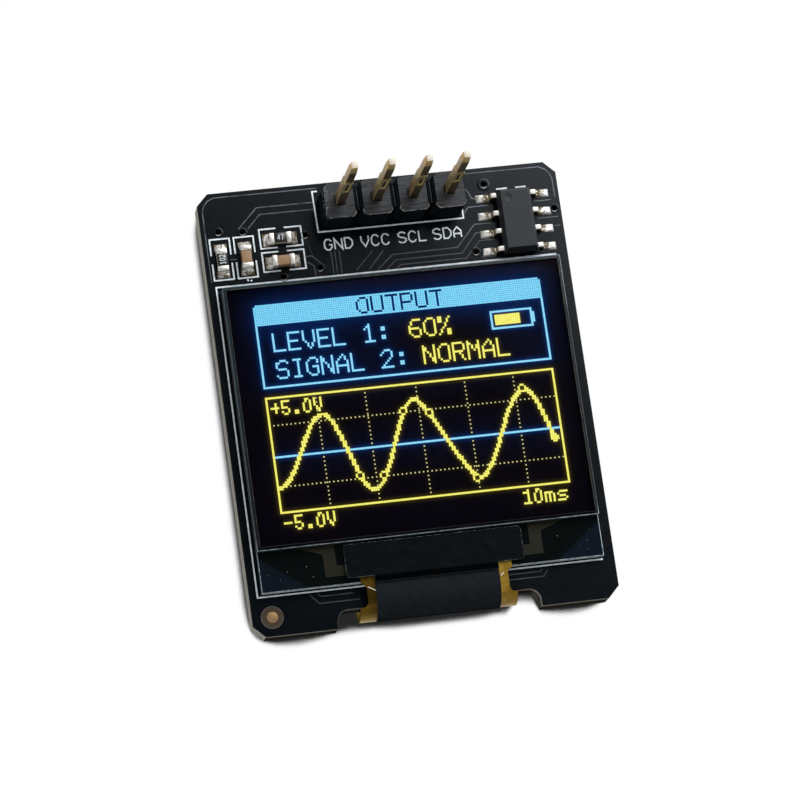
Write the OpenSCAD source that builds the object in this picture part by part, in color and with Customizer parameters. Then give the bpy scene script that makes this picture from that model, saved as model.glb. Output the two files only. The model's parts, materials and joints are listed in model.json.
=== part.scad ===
// Small graphic display module.
// A glass panel is glued to a circuit board and joined to it by a flex, which folds through a
// notch in the lower edge and is soldered to the back. A four-way pin header, a small-outline
// chip and four chip parts stand in a row above the panel.
// The board lies flat, +Y runs towards the header and +Z comes out of the display's face.
// The origin is under the middle of the board, level with the ends of the pin tails.

/* [Circuit board] */
// Thickness of the board
board_t = 1.6; // [1:0.1:2.4]
// Chamfer across each corner of the board
corner_cut = 0.8; // [0.3:0.1:1.2]
// Width of the notch that the flex passes through
notch_w = 14; // [12:0.1:16]
// Depth of the notch from the board's lower edge
notch_depth = 1.25; // [1:0.05:1.6]
// Radius of the notch's inner corners
notch_r = 0.8; // [0.3:0.1:0.9]
// Diameter of the drilled vias
via_d = 0.36; // [0.2:0.02:0.5]
// Diameter of the bare copper fiducial
fiducial_d = 0.76; // [0.5:0.02:1]
// Diameter of the mask opening round the fiducial
opening_d = 1.5; // [1.2:0.1:1.7]
// Distance of the fiducial from the board's left and lower edges
fiducial_inset = [1.4, 1.3]; // [1:0.01:3]
// Thickness of the solder mask and of the bare pads
mask_t = 0.03; // [0.02:0.01:0.06]

/* [Row of parts along the top] */
// Board left of the first chip
chip_margin = 0.84; // [0.6:0.02:2]
// Gap between neighbouring chips, side by side
chip_gap = 0.9; // [0.7:0.02:2]
// Gap between the upright chips and the level ones
chip_row_gap = 1.34; // [0.9:0.02:2.5]
// Gap between the level chips and the header
header_gap = 2.06; // [1:0.02:4]
// Gap between the header and the toes of the small-outline chip
ic_gap = 1.1; // [0.4:0.05:3]
// Board right of the small-outline chip
ic_margin = 0.95; // [0.5:0.05:3]
// Distance of the pin row from the board's top edge
header_edge = 2; // [1.6:0.05:2.6]
// Distance of the small-outline chip's end from the board's top edge
ic_edge = 1.85; // [1:0.05:3]
// Distance of the level chips from the board's top edge
level_chip_edge = 3.3; // [2.6:0.01:3.6]
// Distance of the upright chips from the board's top edge
upright_chip_edge = 4.06; // [3:0.01:4.4]
// Gap between the small-outline chip and the panel
panel_gap = 0.55; // [0.4:0.05:3]

/* [Pin header] */
// Distance from pin to pin
pin_pitch = 2.54; // [2:0.02:3]
// Side of the square pin below its shoulder
pin_side = 0.64; // [0.5:0.02:0.7]
// Side of the square pin above its shoulder
pin_upper_side = 0.54; // [0.4:0.02:0.6]
// Side of the flat at the lower end of a pin
pin_end_side = 0.34; // [0.2:0.02:0.4]
// Side of the flat at the upper end of a pin
pin_tip_side = 0.44; // [0.2:0.02:0.5]
// Height of the taper at the lower end of a pin
pin_end_h = 0.45; // [0.3:0.05:0.8]
// Height of the taper at the upper end of a pin
pin_tip_h = 1; // [0.3:0.05:1.5]
// Length of pin above the housing
pin_reach = 8; // [5:0.1:11]
// Height of the pin's shoulder above the housing
pin_shoulder = 4.7; // [3:0.1:4.9]
// Length of pin below the board
pin_tail = 1.2; // [0.9:0.05:2.5]
// Width, height and depth of the slot coined in each pin's front
coin_slot = [0.28, 1.5, 0.07]; // [0.05:0.01:2]
// Depth of the housing, across the row
housing_d = 2.54; // [2.1:0.02:3]
// Height of the housing
housing_h = 2.54; // [1.8:0.02:3.5]
// Chamfer at the corners of each unit of the housing
unit_cut = 0.46; // [0.3:0.02:0.6]
// Plastic missing at each end, where the strip was broken off
end_trim = 0.18; // [0.02:0.02:0.3]
// Width of the break groove between units
groove_w = 0.54; // [0.3:0.02:0.6]
// Width of the break groove's floor
groove_floor = 0.16; // [0.06:0.02:0.2]
// Depth of the break groove
groove_depth = 0.34; // [0.1:0.02:0.6]
// Gap between a pin's corners and the wall of its hole in the board
pin_hole_gap = 0.05; // [0.03:0.01:0.1]

/* [Small-outline chip] */
// Span from toe to toe of the leads
ic_span = 4.75; // [4.6:0.05:6.2]
// Width of the package at its parting line
ic_w = 2.5; // [2:0.05:3]
// Length of the package at its parting line
ic_l = 4.6; // [4.4:0.05:5.4]
// Height of the package's top above the board
ic_h = 1.25; // [1:0.05:1.75]
// Gap between the package and the board
ic_standoff = 0.1; // [0.05:0.01:0.2]
// Height of the parting line above the board
ic_parting = 0.62; // [0.45:0.01:0.8]
// Draft of each side from the parting line to the top
ic_top_draft = 0.26; // [0.05:0.01:0.4]
// Draft of each side from the parting line to the bottom
ic_low_draft = 0.12; // [0.02:0.01:0.3]
// Distance from lead to lead
lead_pitch = 1.27; // [1.2:0.01:1.4]
// Width of a lead
lead_w = 0.34; // [0.3:0.02:0.5]
// Thickness of a lead
lead_t = 0.18; // [0.1:0.01:0.25]
// Outside radius of a lead's bends
lead_bend = 0.24; // [0.2:0.01:0.26]
// Length of lead inside the package
lead_root = 0.4; // [0.2:0.05:0.6]
// Length of lead from the package's side to its knee
lead_knee = 0.42; // [0.32:0.02:0.6]
// Diameter of the pin-1 dimple
dimple_d = 0.5; // [0.3:0.02:0.7]
// Depth of the pin-1 dimple
dimple_depth = 0.06; // [0.03:0.01:0.12]
// Distance of the dimple from the edges of the package's top
dimple_inset = 0.48; // [0.4:0.02:0.7]

/* [Chip parts] */
// Length of a chip over its end caps
chip_l = 1.55; // [1.3:0.05:1.8]
// Width of a chip over its end caps
chip_w = 0.76; // [0.6:0.02:0.9]
// Height of a chip resistor over its end caps
resistor_h = 0.45; // [0.35:0.05:0.6]
// Height of a chip capacitor over its end caps
capacitor_h = 0.75; // [0.5:0.05:0.9]
// Length of an end cap along the chip
cap_l = 0.34; // [0.2:0.02:0.4]
// Wall of an end cap
cap_t = 0.04; // [0.02:0.01:0.06]
// Thickness of the resistor's overcoat
glaze_t = 0.05; // [0.02:0.01:0.08]

/* [Solder] */
// Board covered by solder past a lead's toe
lead_toe = 0.22; // [0.15:0.01:0.4]
// Board covered by solder past a chip's end
chip_toe = 0.44; // [0.2:0.02:0.5]
// Board covered by solder past each side of a lead or chip
solder_side = 0.1; // [0.05:0.01:0.15]
// Height of the solder fillet at the end of a chip
chip_fillet = 0.34; // [0.15:0.01:0.4]
// Height of the solder fillet at a lead's toe
lead_fillet = 0.14; // [0.06:0.02:0.18]
// Height of the solder cone under a header pin
pin_fillet = 0.75; // [0.4:0.05:0.85]
// Radius of the solder cone on the board
pin_pad_r = 0.9; // [0.75:0.05:1]
// Radius of the solder cone at its tip
pin_fillet_r = 0.5; // [0.48:0.01:0.6]

/* [Panel] */
// Width of the glass panel
panel_w = 23.5; // [20:0.1:25]
// Height of the rear glass
panel_h = 21.15; // [18:0.05:26]
// Depth of the bare ledge at the rear glass's lower end
ledge_depth = 2.8; // [2.6:0.05:4]
// Distance of the panel from the board's lower edge
panel_foot = 2.85; // [2.6:0.05:4]
// Thickness of the double-sided tape under the panel
adhesive_t = 0.15; // [0.05:0.01:0.4]
// Distance of that tape's edge from the panel's edge
adhesive_inset = 0.5; // [0.2:0.05:2]
// Thickness of the rear glass
rear_glass_t = 0.5; // [0.3:0.05:0.8]
// Gap between the two glasses
cell_gap = 0.03; // [0.02:0.01:0.06]
// Width of the seal between the glasses
seal_w = 1.1; // [0.6:0.05:1.5]
// Thickness of the cover glass
cover_glass_t = 0.45; // [0.3:0.05:0.8]
// Thickness of the polarizer
polarizer_t = 0.12; // [0.05:0.01:0.25]
// Distance of the polarizer's edge from the cover glass's edge
polarizer_inset = 0.2; // [0.1:0.05:0.6]

/* [Driver and its tape] */
// Length, width and thickness of the driver die
driver_size = [10.6, 0.9, 0.2]; // [0.1:0.1:12]
// Distance of the die from the cover glass
driver_gap = 0.65; // [0.45:0.05:1]
// Width of the tape
tape_w = 12.2; // [11.6:0.1:14]
// Gap between the tape and the cover glass
tape_gap = 0.15; // [0.1:0.05:0.5]
// Bare ledge between the tape's shoulders and the glass's lower edge
tape_shoulder = 0.34; // [0.1:0.02:0.5]
// Length of the tape's tab past the glass's lower edge
tab_reach = 0.12; // [0.05:0.01:0.3]
// Height of the tape's top above the ledge
tape_h = 0.3; // [0.26:0.01:0.5]
// Radius of the tape's corners
tape_r = 0.28; // [0.1:0.02:0.4]
// Thickness of the metal traces on the ledge
trace_t = 0.02; // [0.01:0.01:0.04]
// Width of the upright bar of each trace
trace_bar = 0.85; // [0.4:0.05:1.5]
// Height of each trace's foot where it runs under the tape
trace_foot = 0.72; // [0.3:0.02:1]
// Gap between the bar and the side of the tape
trace_gap = 0.55; // [0.2:0.05:1]
// Reach of the trace's sloping shoulder along the cover glass
trace_shoulder = 1.7; // [0.5:0.1:2.5]
// Drop of the trace's sloping shoulder
trace_slope = 0.62; // [0.2:0.02:1]

/* [Flex] */
// Sideways place of the flex, its notch and its tape
flex_x = 0.15; // [-2:0.05:2]
// Thickness of the amber film
flex_t = 0.1; // [0.05:0.01:0.14]
// Width of the film where it is bonded to the ledge
bond_w = 10.4; // [10:0.1:11.4]
// Length of the film on the ledge
bond_l = 0.9; // [0.5:0.05:1]
// Width of the film at its neck
neck_w = 9.7; // [9:0.1:9.9]
// Length of the neck
neck_l = 1.6; // [1:0.05:1.8]
// Start of the neck below the glass's edge
neck_start = 0.1; // [0:0.02:0.2]
// Radius of the neck's corners
neck_r = 0.4; // [0.1:0.02:0.5]
// Width of the film's tail, past the neck
tail_w = 10.8; // [10.4:0.1:11.4]
// Length of the tail along the board's back
tail_l = 4.2; // [3.5:0.1:8]
// Distance the fold stays inside the board's lower edge
fold_margin = 0.4; // [0.3:0.02:0.5]
// Gap between the fold and the notch's inner edge
fold_gap = 0.05; // [0.02:0.01:0.1]
// Thickness of the black coverlay
coverlay_t = 0.05; // [0.03:0.01:0.08]
// Width of the coverlay and of the tape's tab
coverlay_w = 8.5; // [8:0.1:8.9]
// Length of coverlay tucked under the tape's tab
coverlay_tuck = 0.15; // [0.05:0.01:0.25]
// Bare fingers left at the tail's end
finger_l = 1.6; // [1:0.1:2]
// Width of one finger
finger_w = 0.35; // [0.2:0.05:0.5]
// Distance from finger to finger
finger_pitch = 0.7; // [0.6:0.02:0.74]
// Thickness of the solder under the fingers
finger_solder_t = 0.05; // [0.03:0.01:0.08]

/* [Hidden] */
$fn = 48;
// A cut runs this far past the face that it opens
past = 0.5;
pin_count = 4;
leads_a_side = 4;
finger_count = 14;

// The row of parts sets the board's width, and the parts and the panel set its height
housing_l = pin_count * pin_pitch;
chips_w = 2 * chip_w + chip_gap + chip_row_gap + chip_l;
board_w = chip_margin + chips_w + header_gap + housing_l + ic_gap + ic_span + ic_margin;
parts_zone = ic_edge + ic_l + panel_gap;
board_h = parts_zone + panel_h + panel_foot;
left_x = -board_w / 2;
right_x = board_w / 2;
top_y = board_h / 2;
low_y = -board_h / 2;

// Heights
board_back = pin_tail;
board_top = board_back + board_t;
housing_top = board_top + housing_h;
pin_top = housing_top + pin_reach;
rear_glass_z = board_top + adhesive_t;
ledge_z = rear_glass_z + rear_glass_t;
cover_z = ledge_z + cell_gap;
cover_top = cover_z + cover_glass_t;
pad_top = board_top + mask_t;

// Places of the parts along the top
resistor_1_at = [left_x + chip_margin + chip_w / 2, top_y - upright_chip_edge - chip_l / 2];
capacitor_1_at = resistor_1_at + [chip_w + chip_gap, 0];
level_chip_x = capacitor_1_at[0] + chip_w / 2 + chip_row_gap + chip_l / 2;
resistor_2_at = [level_chip_x, top_y - level_chip_edge - chip_w / 2];
capacitor_2_at = resistor_2_at - [0, chip_w + chip_gap];
header_left = level_chip_x + chip_l / 2 + header_gap;
header_y = top_y - header_edge;
ic_at = [header_left + housing_l + ic_gap + ic_span / 2, top_y - ic_edge - ic_l / 2];

// Vias, each placed from the part that it serves
via_spots = [
    resistor_1_at + [0, 2.05],
    capacitor_1_at + [0, 1.9],
    resistor_2_at + [1.75, 0.1],
    capacitor_2_at + [2.5, -0.65],
    capacitor_2_at + [-0.1, -1.05],
    ic_at + [-1.85, 2.92],
    ic_at + [2.85, 0.75],
    ic_at + [-3.05, -1.8]
];

// The panel and the flex
panel_low = low_y + panel_foot;
panel_top = panel_low + panel_h;
cover_low = panel_low + ledge_depth;
cover_h = panel_h - ledge_depth;
pin_hole_r = pin_side * sqrt(2) / 2 + pin_hole_gap;
notch_y = low_y + notch_depth;
fold_y = low_y + fold_margin;
flex_top_z = ledge_z + flex_t;
flex_low_z = board_back - finger_solder_t - flex_t;
low_fold_r = notch_depth - fold_margin - fold_gap;
high_fold_r = flex_top_z - flex_low_z - low_fold_r;
fold_mid_z = flex_low_z + low_fold_r;
tail_end = notch_y + tail_l;
tape_top_y = cover_low - tape_gap;
tape_low_y = panel_low + tape_shoulder;
tab_low_y = panel_low - tab_reach;
coverlay_start = panel_low + coverlay_tuck;

function pin_x(i) = header_left + pin_pitch * (i + 0.5);
function lead_y(i) = ic_at[1] + lead_pitch * (i - (leads_a_side - 1) / 2);
// A closed outline from one side's points, each given as half a width and a height
function both_sides(half) = concat(half, [for (i = [len(half) - 1:-1:0]) [-half[i][0], half[i][1]]]);

// An outline drawn in Y and Z, drawn out along X about the middle
module along_x(length) {
    rotate([90, 0, 90]) linear_extrude(length, center = true) children();
}

// An outline drawn in X and Z, drawn out along Y about the middle
module along_y(length) {
    rotate([90, 0, 0]) linear_extrude(length, center = true) children();
}

// A quarter of a ring, turned to the quarter that it fills
module bend(outer, wall, turn) {
    rotate(turn) intersection() {
        difference() {
            circle(outer);
            circle(outer - wall);
        }
        square(outer);
    }
}

// A concave fillet in the corner of the X and Y axes
module fillet(side) {
    difference() {
        square(side);
        translate([side, side]) circle(side);
    }
}

// A rectangle with round corners, about its centre
module rounded(size, r) {
    square([size[0] - 2 * r, size[1]], center = true);
    square([size[0], size[1] - 2 * r], center = true);
    for (x = [-1, 1], y = [-1, 1])
        translate([x * (size[0] / 2 - r), y * (size[1] / 2 - r)]) circle(r);
}

// A plate between two corners, with its lower face at z and a thickness
module plate(low, high, z, t) {
    translate([low[0], low[1], z]) cube([high[0] - low[0], high[1] - low[1], t]);
}

// Circuit board

module board_outline() {
    w = board_w / 2;
    h = board_h / 2;
    c = corner_cut;
    difference() {
        polygon([[-w + c, -h], [w - c, -h], [w, -h + c], [w, h - c],
                 [w - c, h], [-w + c, h], [-w, h - c], [-w, -h + c]]);
        // The notch, open at the lower edge
        translate([flex_x, notch_y - (notch_depth + past) / 2]) {
            translate([0, -notch_r / 2]) square([notch_w, notch_depth + past - notch_r], center = true);
            rounded([notch_w, notch_depth + past], notch_r);
        }
    }
}

module circuit_board() {
    color("#14171b") difference() {
        translate([0, 0, board_back]) linear_extrude(board_t) board_outline();
        for (spot = via_spots)
            translate([spot[0], spot[1], board_back - past]) cylinder(d = via_d, h = board_t + 2 * past);
        for (i = [0:pin_count - 1])
            translate([pin_x(i), header_y, board_back - past])
                cylinder(r = pin_hole_r, h = board_t + 2 * past);
        translate([left_x + fiducial_inset[0], low_y + fiducial_inset[1], board_top - mask_t])
            cylinder(d = opening_d, h = mask_t + past);
    }
}

module fiducial_pad() {
    color("#be8c5f") translate([left_x + fiducial_inset[0], low_y + fiducial_inset[1], board_top - mask_t])
        cylinder(d = fiducial_d, h = mask_t);
}

// Pin header

// One unit of the housing, an oblong with its four corners cut off
module housing_unit() {
    x = pin_pitch / 2;
    y = housing_d / 2;
    polygon([[-x + unit_cut, -y], [x - unit_cut, -y], [x, -y + unit_cut], [x, y - unit_cut],
             [x - unit_cut, y], [-x + unit_cut, y], [-x, y - unit_cut], [-x, -y + unit_cut]]);
}

module header_housing() {
    core_d = housing_d - 2 * unit_cut;
    half_groove = [[groove_floor / 2, -groove_depth], [groove_w / 2, 0], [groove_w / 2, past]];
    color("#2b2c30") difference() {
        translate([0, header_y, board_top]) linear_extrude(housing_h) {
            translate([header_left, -core_d / 2]) square([housing_l, core_d]);
            for (i = [0:pin_count - 1])
                translate([pin_x(i), 0]) housing_unit();
        }
        for (i = [0:pin_count - 1])
            translate([pin_x(i), header_y, board_top + housing_h / 2])
                cube([pin_side, pin_side, housing_h + 2 * past], center = true);
        for (i = [1:pin_count - 1])
            translate([header_left + i * pin_pitch, header_y, housing_top]) along_y(housing_d + 2 * past)
                polygon(both_sides(half_groove));
        for (end_x = [header_left, header_left + housing_l])
            translate([end_x, header_y, board_top + housing_h / 2])
                cube([2 * end_trim, housing_d + 2 * past, housing_h + 2 * past], center = true);
    }
}

// One pin: a square bar with a shoulder, and a taper to a flat at each end
module header_pin(i) {
    shoulder_z = housing_top + pin_shoulder;
    half = [
        [pin_end_side / 2, 0],
        [pin_side / 2, pin_end_h],
        [pin_side / 2, shoulder_z],
        [pin_upper_side / 2, shoulder_z + (pin_side - pin_upper_side)],
        [pin_upper_side / 2, pin_top - pin_tip_h],
        [pin_tip_side / 2, pin_top]
    ];
    color("#b08d45") translate([pin_x(i), header_y, 0]) difference() {
        intersection() {
            along_x(pin_side) polygon(both_sides(half));
            along_y(pin_side) polygon(both_sides(half));
        }
        translate([-coin_slot[0] / 2, -pin_side / 2 - past, shoulder_z - pin_side / 2 - coin_slot[1]])
            cube([coin_slot[0], past + coin_slot[2], coin_slot[1]]);
    }
}

// Solder that fills each header hole and climbs the pin's tail
module header_solder() {
    color("#c9ccd0") for (i = [0:pin_count - 1])
        translate([pin_x(i), header_y, board_back]) difference() {
            union() {
                cylinder(r = pin_hole_r, h = board_t);
                rotate_extrude() difference() {
                    polygon([[0, 0], [pin_pad_r, 0], [pin_fillet_r, -pin_fillet], [0, -pin_fillet]]);
                    translate([pin_pad_r, -pin_fillet]) circle(pin_pad_r - pin_fillet_r);
                }
            }
            cube([pin_side, pin_side, 2 * (board_t + pin_fillet + past)], center = true);
        }
}

// Small-outline chip

// The bent strip of one lead, drawn from the package's middle outwards, with z 0 on the pad
module lead_profile() {
    root_x = ic_w / 2 - lead_root;
    knee_x = ic_w / 2 + lead_knee;
    heel_x = knee_x - lead_t + lead_bend;
    high = ic_parting - mask_t + lead_t / 2;
    translate([root_x, high - lead_t]) square([knee_x - lead_bend - root_x, lead_t]);
    translate([knee_x - lead_bend, high - lead_bend]) bend(lead_bend, lead_t, 0);
    translate([knee_x - lead_t, lead_bend]) square([lead_t, high - 2 * lead_bend]);
    translate([heel_x, lead_bend]) bend(lead_bend, lead_t, 180);
    translate([heel_x, 0]) square([ic_span / 2 - heel_x, lead_t]);
}

// Draws what is given for the right row of leads at every lead of both rows
module at_leads() {
    for (side = [0, 1], i = [0:leads_a_side - 1])
        translate([ic_at[0], lead_y(i), pad_top]) mirror([side, 0, 0]) children();
}

module ic_body() {
    w = ic_w / 2;
    l = ic_l / 2;
    dimple_at = [-w + ic_top_draft + dimple_inset, l - ic_top_draft - dimple_inset, ic_h - dimple_depth];
    color("#33353a") difference() {
        translate([ic_at[0], ic_at[1], board_top]) difference() {
            intersection() {
                along_y(ic_l) polygon(both_sides([[w - ic_low_draft, ic_standoff], [w, ic_parting],
                                                  [w - ic_top_draft, ic_h]]));
                along_x(ic_w) polygon(both_sides([[l - ic_low_draft, ic_standoff], [l, ic_parting],
                                                  [l - ic_top_draft, ic_h]]));
            }
            translate(dimple_at) cylinder(d = dimple_d, h = dimple_depth + past);
        }
        at_leads() translate([w - lead_root, -lead_w / 2, ic_parting - mask_t - lead_t / 2])
            cube([lead_root + past, lead_w, lead_t]);
    }
}

module ic_leads() {
    color("#c4c7cb") at_leads() along_y(lead_w) lead_profile();
}

// The solder under each foot, with a fillet up the toe
module ic_solder() {
    heel_x = ic_w / 2 + lead_knee - lead_t;
    toe_x = ic_span / 2;
    width = lead_w + 2 * solder_side;
    color("#c9ccd0") at_leads() {
        plate([heel_x, -width / 2], [toe_x + lead_toe, width / 2], -mask_t, mask_t);
        translate([toe_x, 0, 0]) along_y(lead_w) fillet(min(lead_fillet, lead_toe));
    }
}

// Chip parts

// Draws what is given at a chip's place, on its pads, turned upright or left level
module at_chip(place, upright) {
    translate([place[0], place[1], pad_top]) rotate(upright ? 90 : 0) children();
}

// The ceramic of a chip, inside the walls of its end caps
module chip_body(h) {
    translate([-chip_l / 2 + cap_t, -chip_w / 2 + cap_t, cap_t])
        cube([chip_l - 2 * cap_t, chip_w - 2 * cap_t, h - 2 * cap_t]);
}

// The two end caps, which wrap all sides of the ceramic
module chip_caps(h) {
    difference() {
        for (side = [0, 1])
            mirror([side, 0, 0]) translate([chip_l / 2 - cap_l, -chip_w / 2, 0]) cube([cap_l, chip_w, h]);
        chip_body(h);
    }
}

// The overcoat, which fills the top between a resistor's end caps
module chip_glaze(h) {
    l = chip_l - 2 * cap_l;
    w = chip_w - 2 * cap_t;
    translate([-l / 2, -w / 2, h - cap_t]) cube([l, w, glaze_t]);
}

// The solder under and past each end cap of a chip of this height
module chip_joints(h) {
    width = chip_w + 2 * solder_side;
    for (side = [0, 1])
        mirror([side, 0, 0]) {
            plate([chip_l / 2 - cap_l, -width / 2], [chip_l / 2 + chip_toe, width / 2], -mask_t, mask_t);
            translate([chip_l / 2, 0, 0]) along_y(chip_w) fillet(min(chip_fillet, chip_toe, h));
        }
}

module resistor_1() {
    color("#d8d2c0") at_chip(resistor_1_at, true) chip_body(resistor_h);
}

module resistor_2() {
    color("#d8d2c0") at_chip(resistor_2_at, false) chip_body(resistor_h);
}

module resistor_glaze() {
    color("#141416") {
        at_chip(resistor_1_at, true) chip_glaze(resistor_h);
        at_chip(resistor_2_at, false) chip_glaze(resistor_h);
    }
}

module resistor_terminals() {
    color("#d2d3d4") {
        at_chip(resistor_1_at, true) chip_caps(resistor_h);
        at_chip(resistor_2_at, false) chip_caps(resistor_h);
    }
}

module capacitor_1() {
    color("#a57d5a") at_chip(capacitor_1_at, true) chip_body(capacitor_h);
}

module capacitor_2() {
    color("#a57d5a") at_chip(capacitor_2_at, false) chip_body(capacitor_h);
}

module capacitor_terminals() {
    color("#d2d3d4") {
        at_chip(capacitor_1_at, true) chip_caps(capacitor_h);
        at_chip(capacitor_2_at, false) chip_caps(capacitor_h);
    }
}

module chip_solder() {
    color("#c9ccd0") {
        at_chip(resistor_1_at, true) chip_joints(resistor_h);
        at_chip(resistor_2_at, false) chip_joints(resistor_h);
        at_chip(capacitor_1_at, true) chip_joints(capacitor_h);
        at_chip(capacitor_2_at, false) chip_joints(capacitor_h);
    }
}

// Display panel

// A plate on the panel's outline from a lower edge up, drawn in from its edges
module panel_plate(low, inset, z, t) {
    plate([-panel_w / 2 + inset, low + inset], [panel_w / 2 - inset, panel_top - inset], z, t);
}

module panel_adhesive() {
    color("#e8e6df") panel_plate(panel_low, adhesive_inset, board_top, adhesive_t);
}

module rear_glass() {
    color("#1b2126") panel_plate(panel_low, 0, rear_glass_z, rear_glass_t);
}

module edge_seal() {
    color("#2a2a24") difference() {
        panel_plate(cover_low, 0, ledge_z, cell_gap);
        panel_plate(cover_low, seal_w, ledge_z - past, cell_gap + 2 * past);
    }
}

module emitter_layer() {
    color("#0a0c18") panel_plate(cover_low, seal_w, ledge_z, cell_gap);
}

module cover_glass() {
    color("#20262c") panel_plate(cover_low, 0, cover_z, cover_glass_t);
}

module polarizer() {
    color("#0b0d10") panel_plate(cover_low, polarizer_inset, cover_top, polarizer_t);
}

// Driver, tape and ledge traces

// The right-hand trace: a shoulder along the cover glass, a bar and a foot into the tape
module ledge_trace() {
    inner = tape_w / 2 + trace_gap;
    outer = inner + trace_bar;
    foot_low = tape_low_y + tape_r;
    polygon([[inner, cover_low], [outer + trace_shoulder, cover_low], [outer, cover_low - trace_slope],
             [outer, foot_low], [tape_w / 2, foot_low], [tape_w / 2, foot_low + trace_foot],
             [inner, foot_low + trace_foot]]);
}

module contact_traces() {
    color("#55523a") translate([flex_x, 0, ledge_z]) linear_extrude(trace_t) {
        ledge_trace();
        mirror([1, 0]) ledge_trace();
    }
}

module driver_chip() {
    top = cover_low - driver_gap;
    color("#3b3d45") translate([flex_x, 0, 0])
        plate([-driver_size[0] / 2, top - driver_size[1]], [driver_size[0] / 2, top], ledge_z, driver_size[2]);
}

module tape_outline() {
    wide = [tape_w, tape_top_y - tape_low_y];
    translate([0, (tape_top_y + tape_low_y) / 2]) rounded(wide, tape_r);
    translate([-coverlay_w / 2, tab_low_y]) square([coverlay_w, tape_low_y - tab_low_y + tape_r]);
}

// The tape lies on the ledge, with pockets for the die, the film and the coverlay
module driver_tape() {
    top = cover_low - driver_gap;
    die = [driver_size[0] / 2, driver_size[1], driver_size[2]];
    color("#12161d") translate([flex_x, 0, 0]) difference() {
        translate([0, 0, ledge_z]) linear_extrude(tape_h) tape_outline();
        plate([-die[0], top - die[1]], [die[0], top], ledge_z - past, die[2] + past);
        plate([-bond_w / 2, tab_low_y - past], [bond_w / 2, panel_low + bond_l], ledge_z - past, flex_t + past);
        plate([-coverlay_w / 2 - past, tab_low_y - past], [coverlay_w / 2 + past, coverlay_start],
              ledge_z - past, flex_t + coverlay_t + past);
    }
}

// Flex

// The section of a strip folded through the notch, on the ledge side of the fold's middle.
// Its outer face lies out from the film's outer face by the lift
module high_strip(lift, wall, end_y) {
    r = high_fold_r + lift;
    start_y = fold_y + high_fold_r;
    translate([start_y, flex_top_z + lift - wall]) square([end_y - start_y, wall]);
    translate([start_y, flex_top_z - high_fold_r]) bend(r, wall, 90);
}

// The same section on the board's back
module low_strip(lift, wall, end_y) {
    r = low_fold_r + lift;
    start_y = fold_y + low_fold_r;
    translate([start_y, fold_mid_z]) bend(r, wall, 180);
    translate([start_y, flex_low_z - lift]) square([end_y - start_y, wall]);
}

// The film's outline seen from the front: a bond, a neck and the flare into the tail
module flex_outline() {
    neck_top = panel_low - neck_start;
    neck_mid = neck_top - neck_l / 2;
    difference() {
        union() {
            translate([-bond_w / 2, neck_mid]) square([bond_w, panel_low + bond_l - neck_mid]);
            translate([-tail_w / 2, fold_y]) square([tail_w, neck_mid - fold_y]);
        }
        for (side = [-1, 1])
            translate([side * (neck_w / 2 + tail_w / 2), neck_mid]) rounded([tail_w, neck_l], neck_r);
    }
}

module flex_film() {
    color("#8a6420") translate([flex_x, 0, 0]) {
        intersection() {
            along_x(tail_w) high_strip(0, flex_t, panel_low + bond_l);
            translate([0, 0, fold_mid_z]) linear_extrude(flex_top_z - fold_mid_z) flex_outline();
        }
        along_x(tail_w) low_strip(0, flex_t, tail_end);
    }
}

module flex_coverlay() {
    color("#1b2028") translate([flex_x, 0, 0]) along_x(coverlay_w) {
        high_strip(coverlay_t, coverlay_t, coverlay_start);
        low_strip(coverlay_t, coverlay_t, tail_end - finger_l);
    }
}

module flex_solder() {
    color("#c9ccd0") for (i = [0:finger_count - 1])
        translate([flex_x + finger_pitch * (i - (finger_count - 1) / 2), 0, 0])
            plate([-finger_w / 2, tail_end - finger_l], [finger_w / 2, tail_end],
                  board_back - finger_solder_t, finger_solder_t);
}

circuit_board();
fiducial_pad();
header_housing();
header_pin(0);  // header_pin_1
header_pin(1);  // header_pin_2
header_pin(2);  // header_pin_3
header_pin(3);  // header_pin_4
header_solder();
ic_body();
ic_leads();
ic_solder();
resistor_1();
resistor_2();
resistor_glaze();
resistor_terminals();
capacitor_1();
capacitor_2();
capacitor_terminals();
chip_solder();
panel_adhesive();
rear_glass();
edge_seal();
emitter_layer();
cover_glass();
polarizer();
contact_traces();
driver_chip();
driver_tape();
flex_film();
flex_coverlay();
flex_solder();
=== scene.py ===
import json
import math

import bpy
import numpy
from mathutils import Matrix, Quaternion, Vector, noise

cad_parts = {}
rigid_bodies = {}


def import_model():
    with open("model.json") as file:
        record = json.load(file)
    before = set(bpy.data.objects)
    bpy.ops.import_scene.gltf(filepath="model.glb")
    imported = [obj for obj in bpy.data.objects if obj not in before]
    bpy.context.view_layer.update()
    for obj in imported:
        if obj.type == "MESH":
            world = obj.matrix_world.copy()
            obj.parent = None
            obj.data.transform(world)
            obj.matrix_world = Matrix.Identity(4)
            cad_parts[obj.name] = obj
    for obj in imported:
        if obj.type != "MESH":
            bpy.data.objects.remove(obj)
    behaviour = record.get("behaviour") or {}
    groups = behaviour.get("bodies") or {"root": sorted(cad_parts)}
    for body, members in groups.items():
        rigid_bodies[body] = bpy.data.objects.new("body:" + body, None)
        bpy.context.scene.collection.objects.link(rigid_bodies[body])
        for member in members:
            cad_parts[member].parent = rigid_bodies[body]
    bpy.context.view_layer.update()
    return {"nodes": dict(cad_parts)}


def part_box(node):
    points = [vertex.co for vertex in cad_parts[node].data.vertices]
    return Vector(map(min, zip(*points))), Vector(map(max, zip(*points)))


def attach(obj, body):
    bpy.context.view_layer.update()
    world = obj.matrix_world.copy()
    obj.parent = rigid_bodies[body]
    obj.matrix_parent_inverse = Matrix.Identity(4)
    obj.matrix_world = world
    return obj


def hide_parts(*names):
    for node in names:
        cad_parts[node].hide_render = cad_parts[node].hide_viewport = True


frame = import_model()


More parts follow.
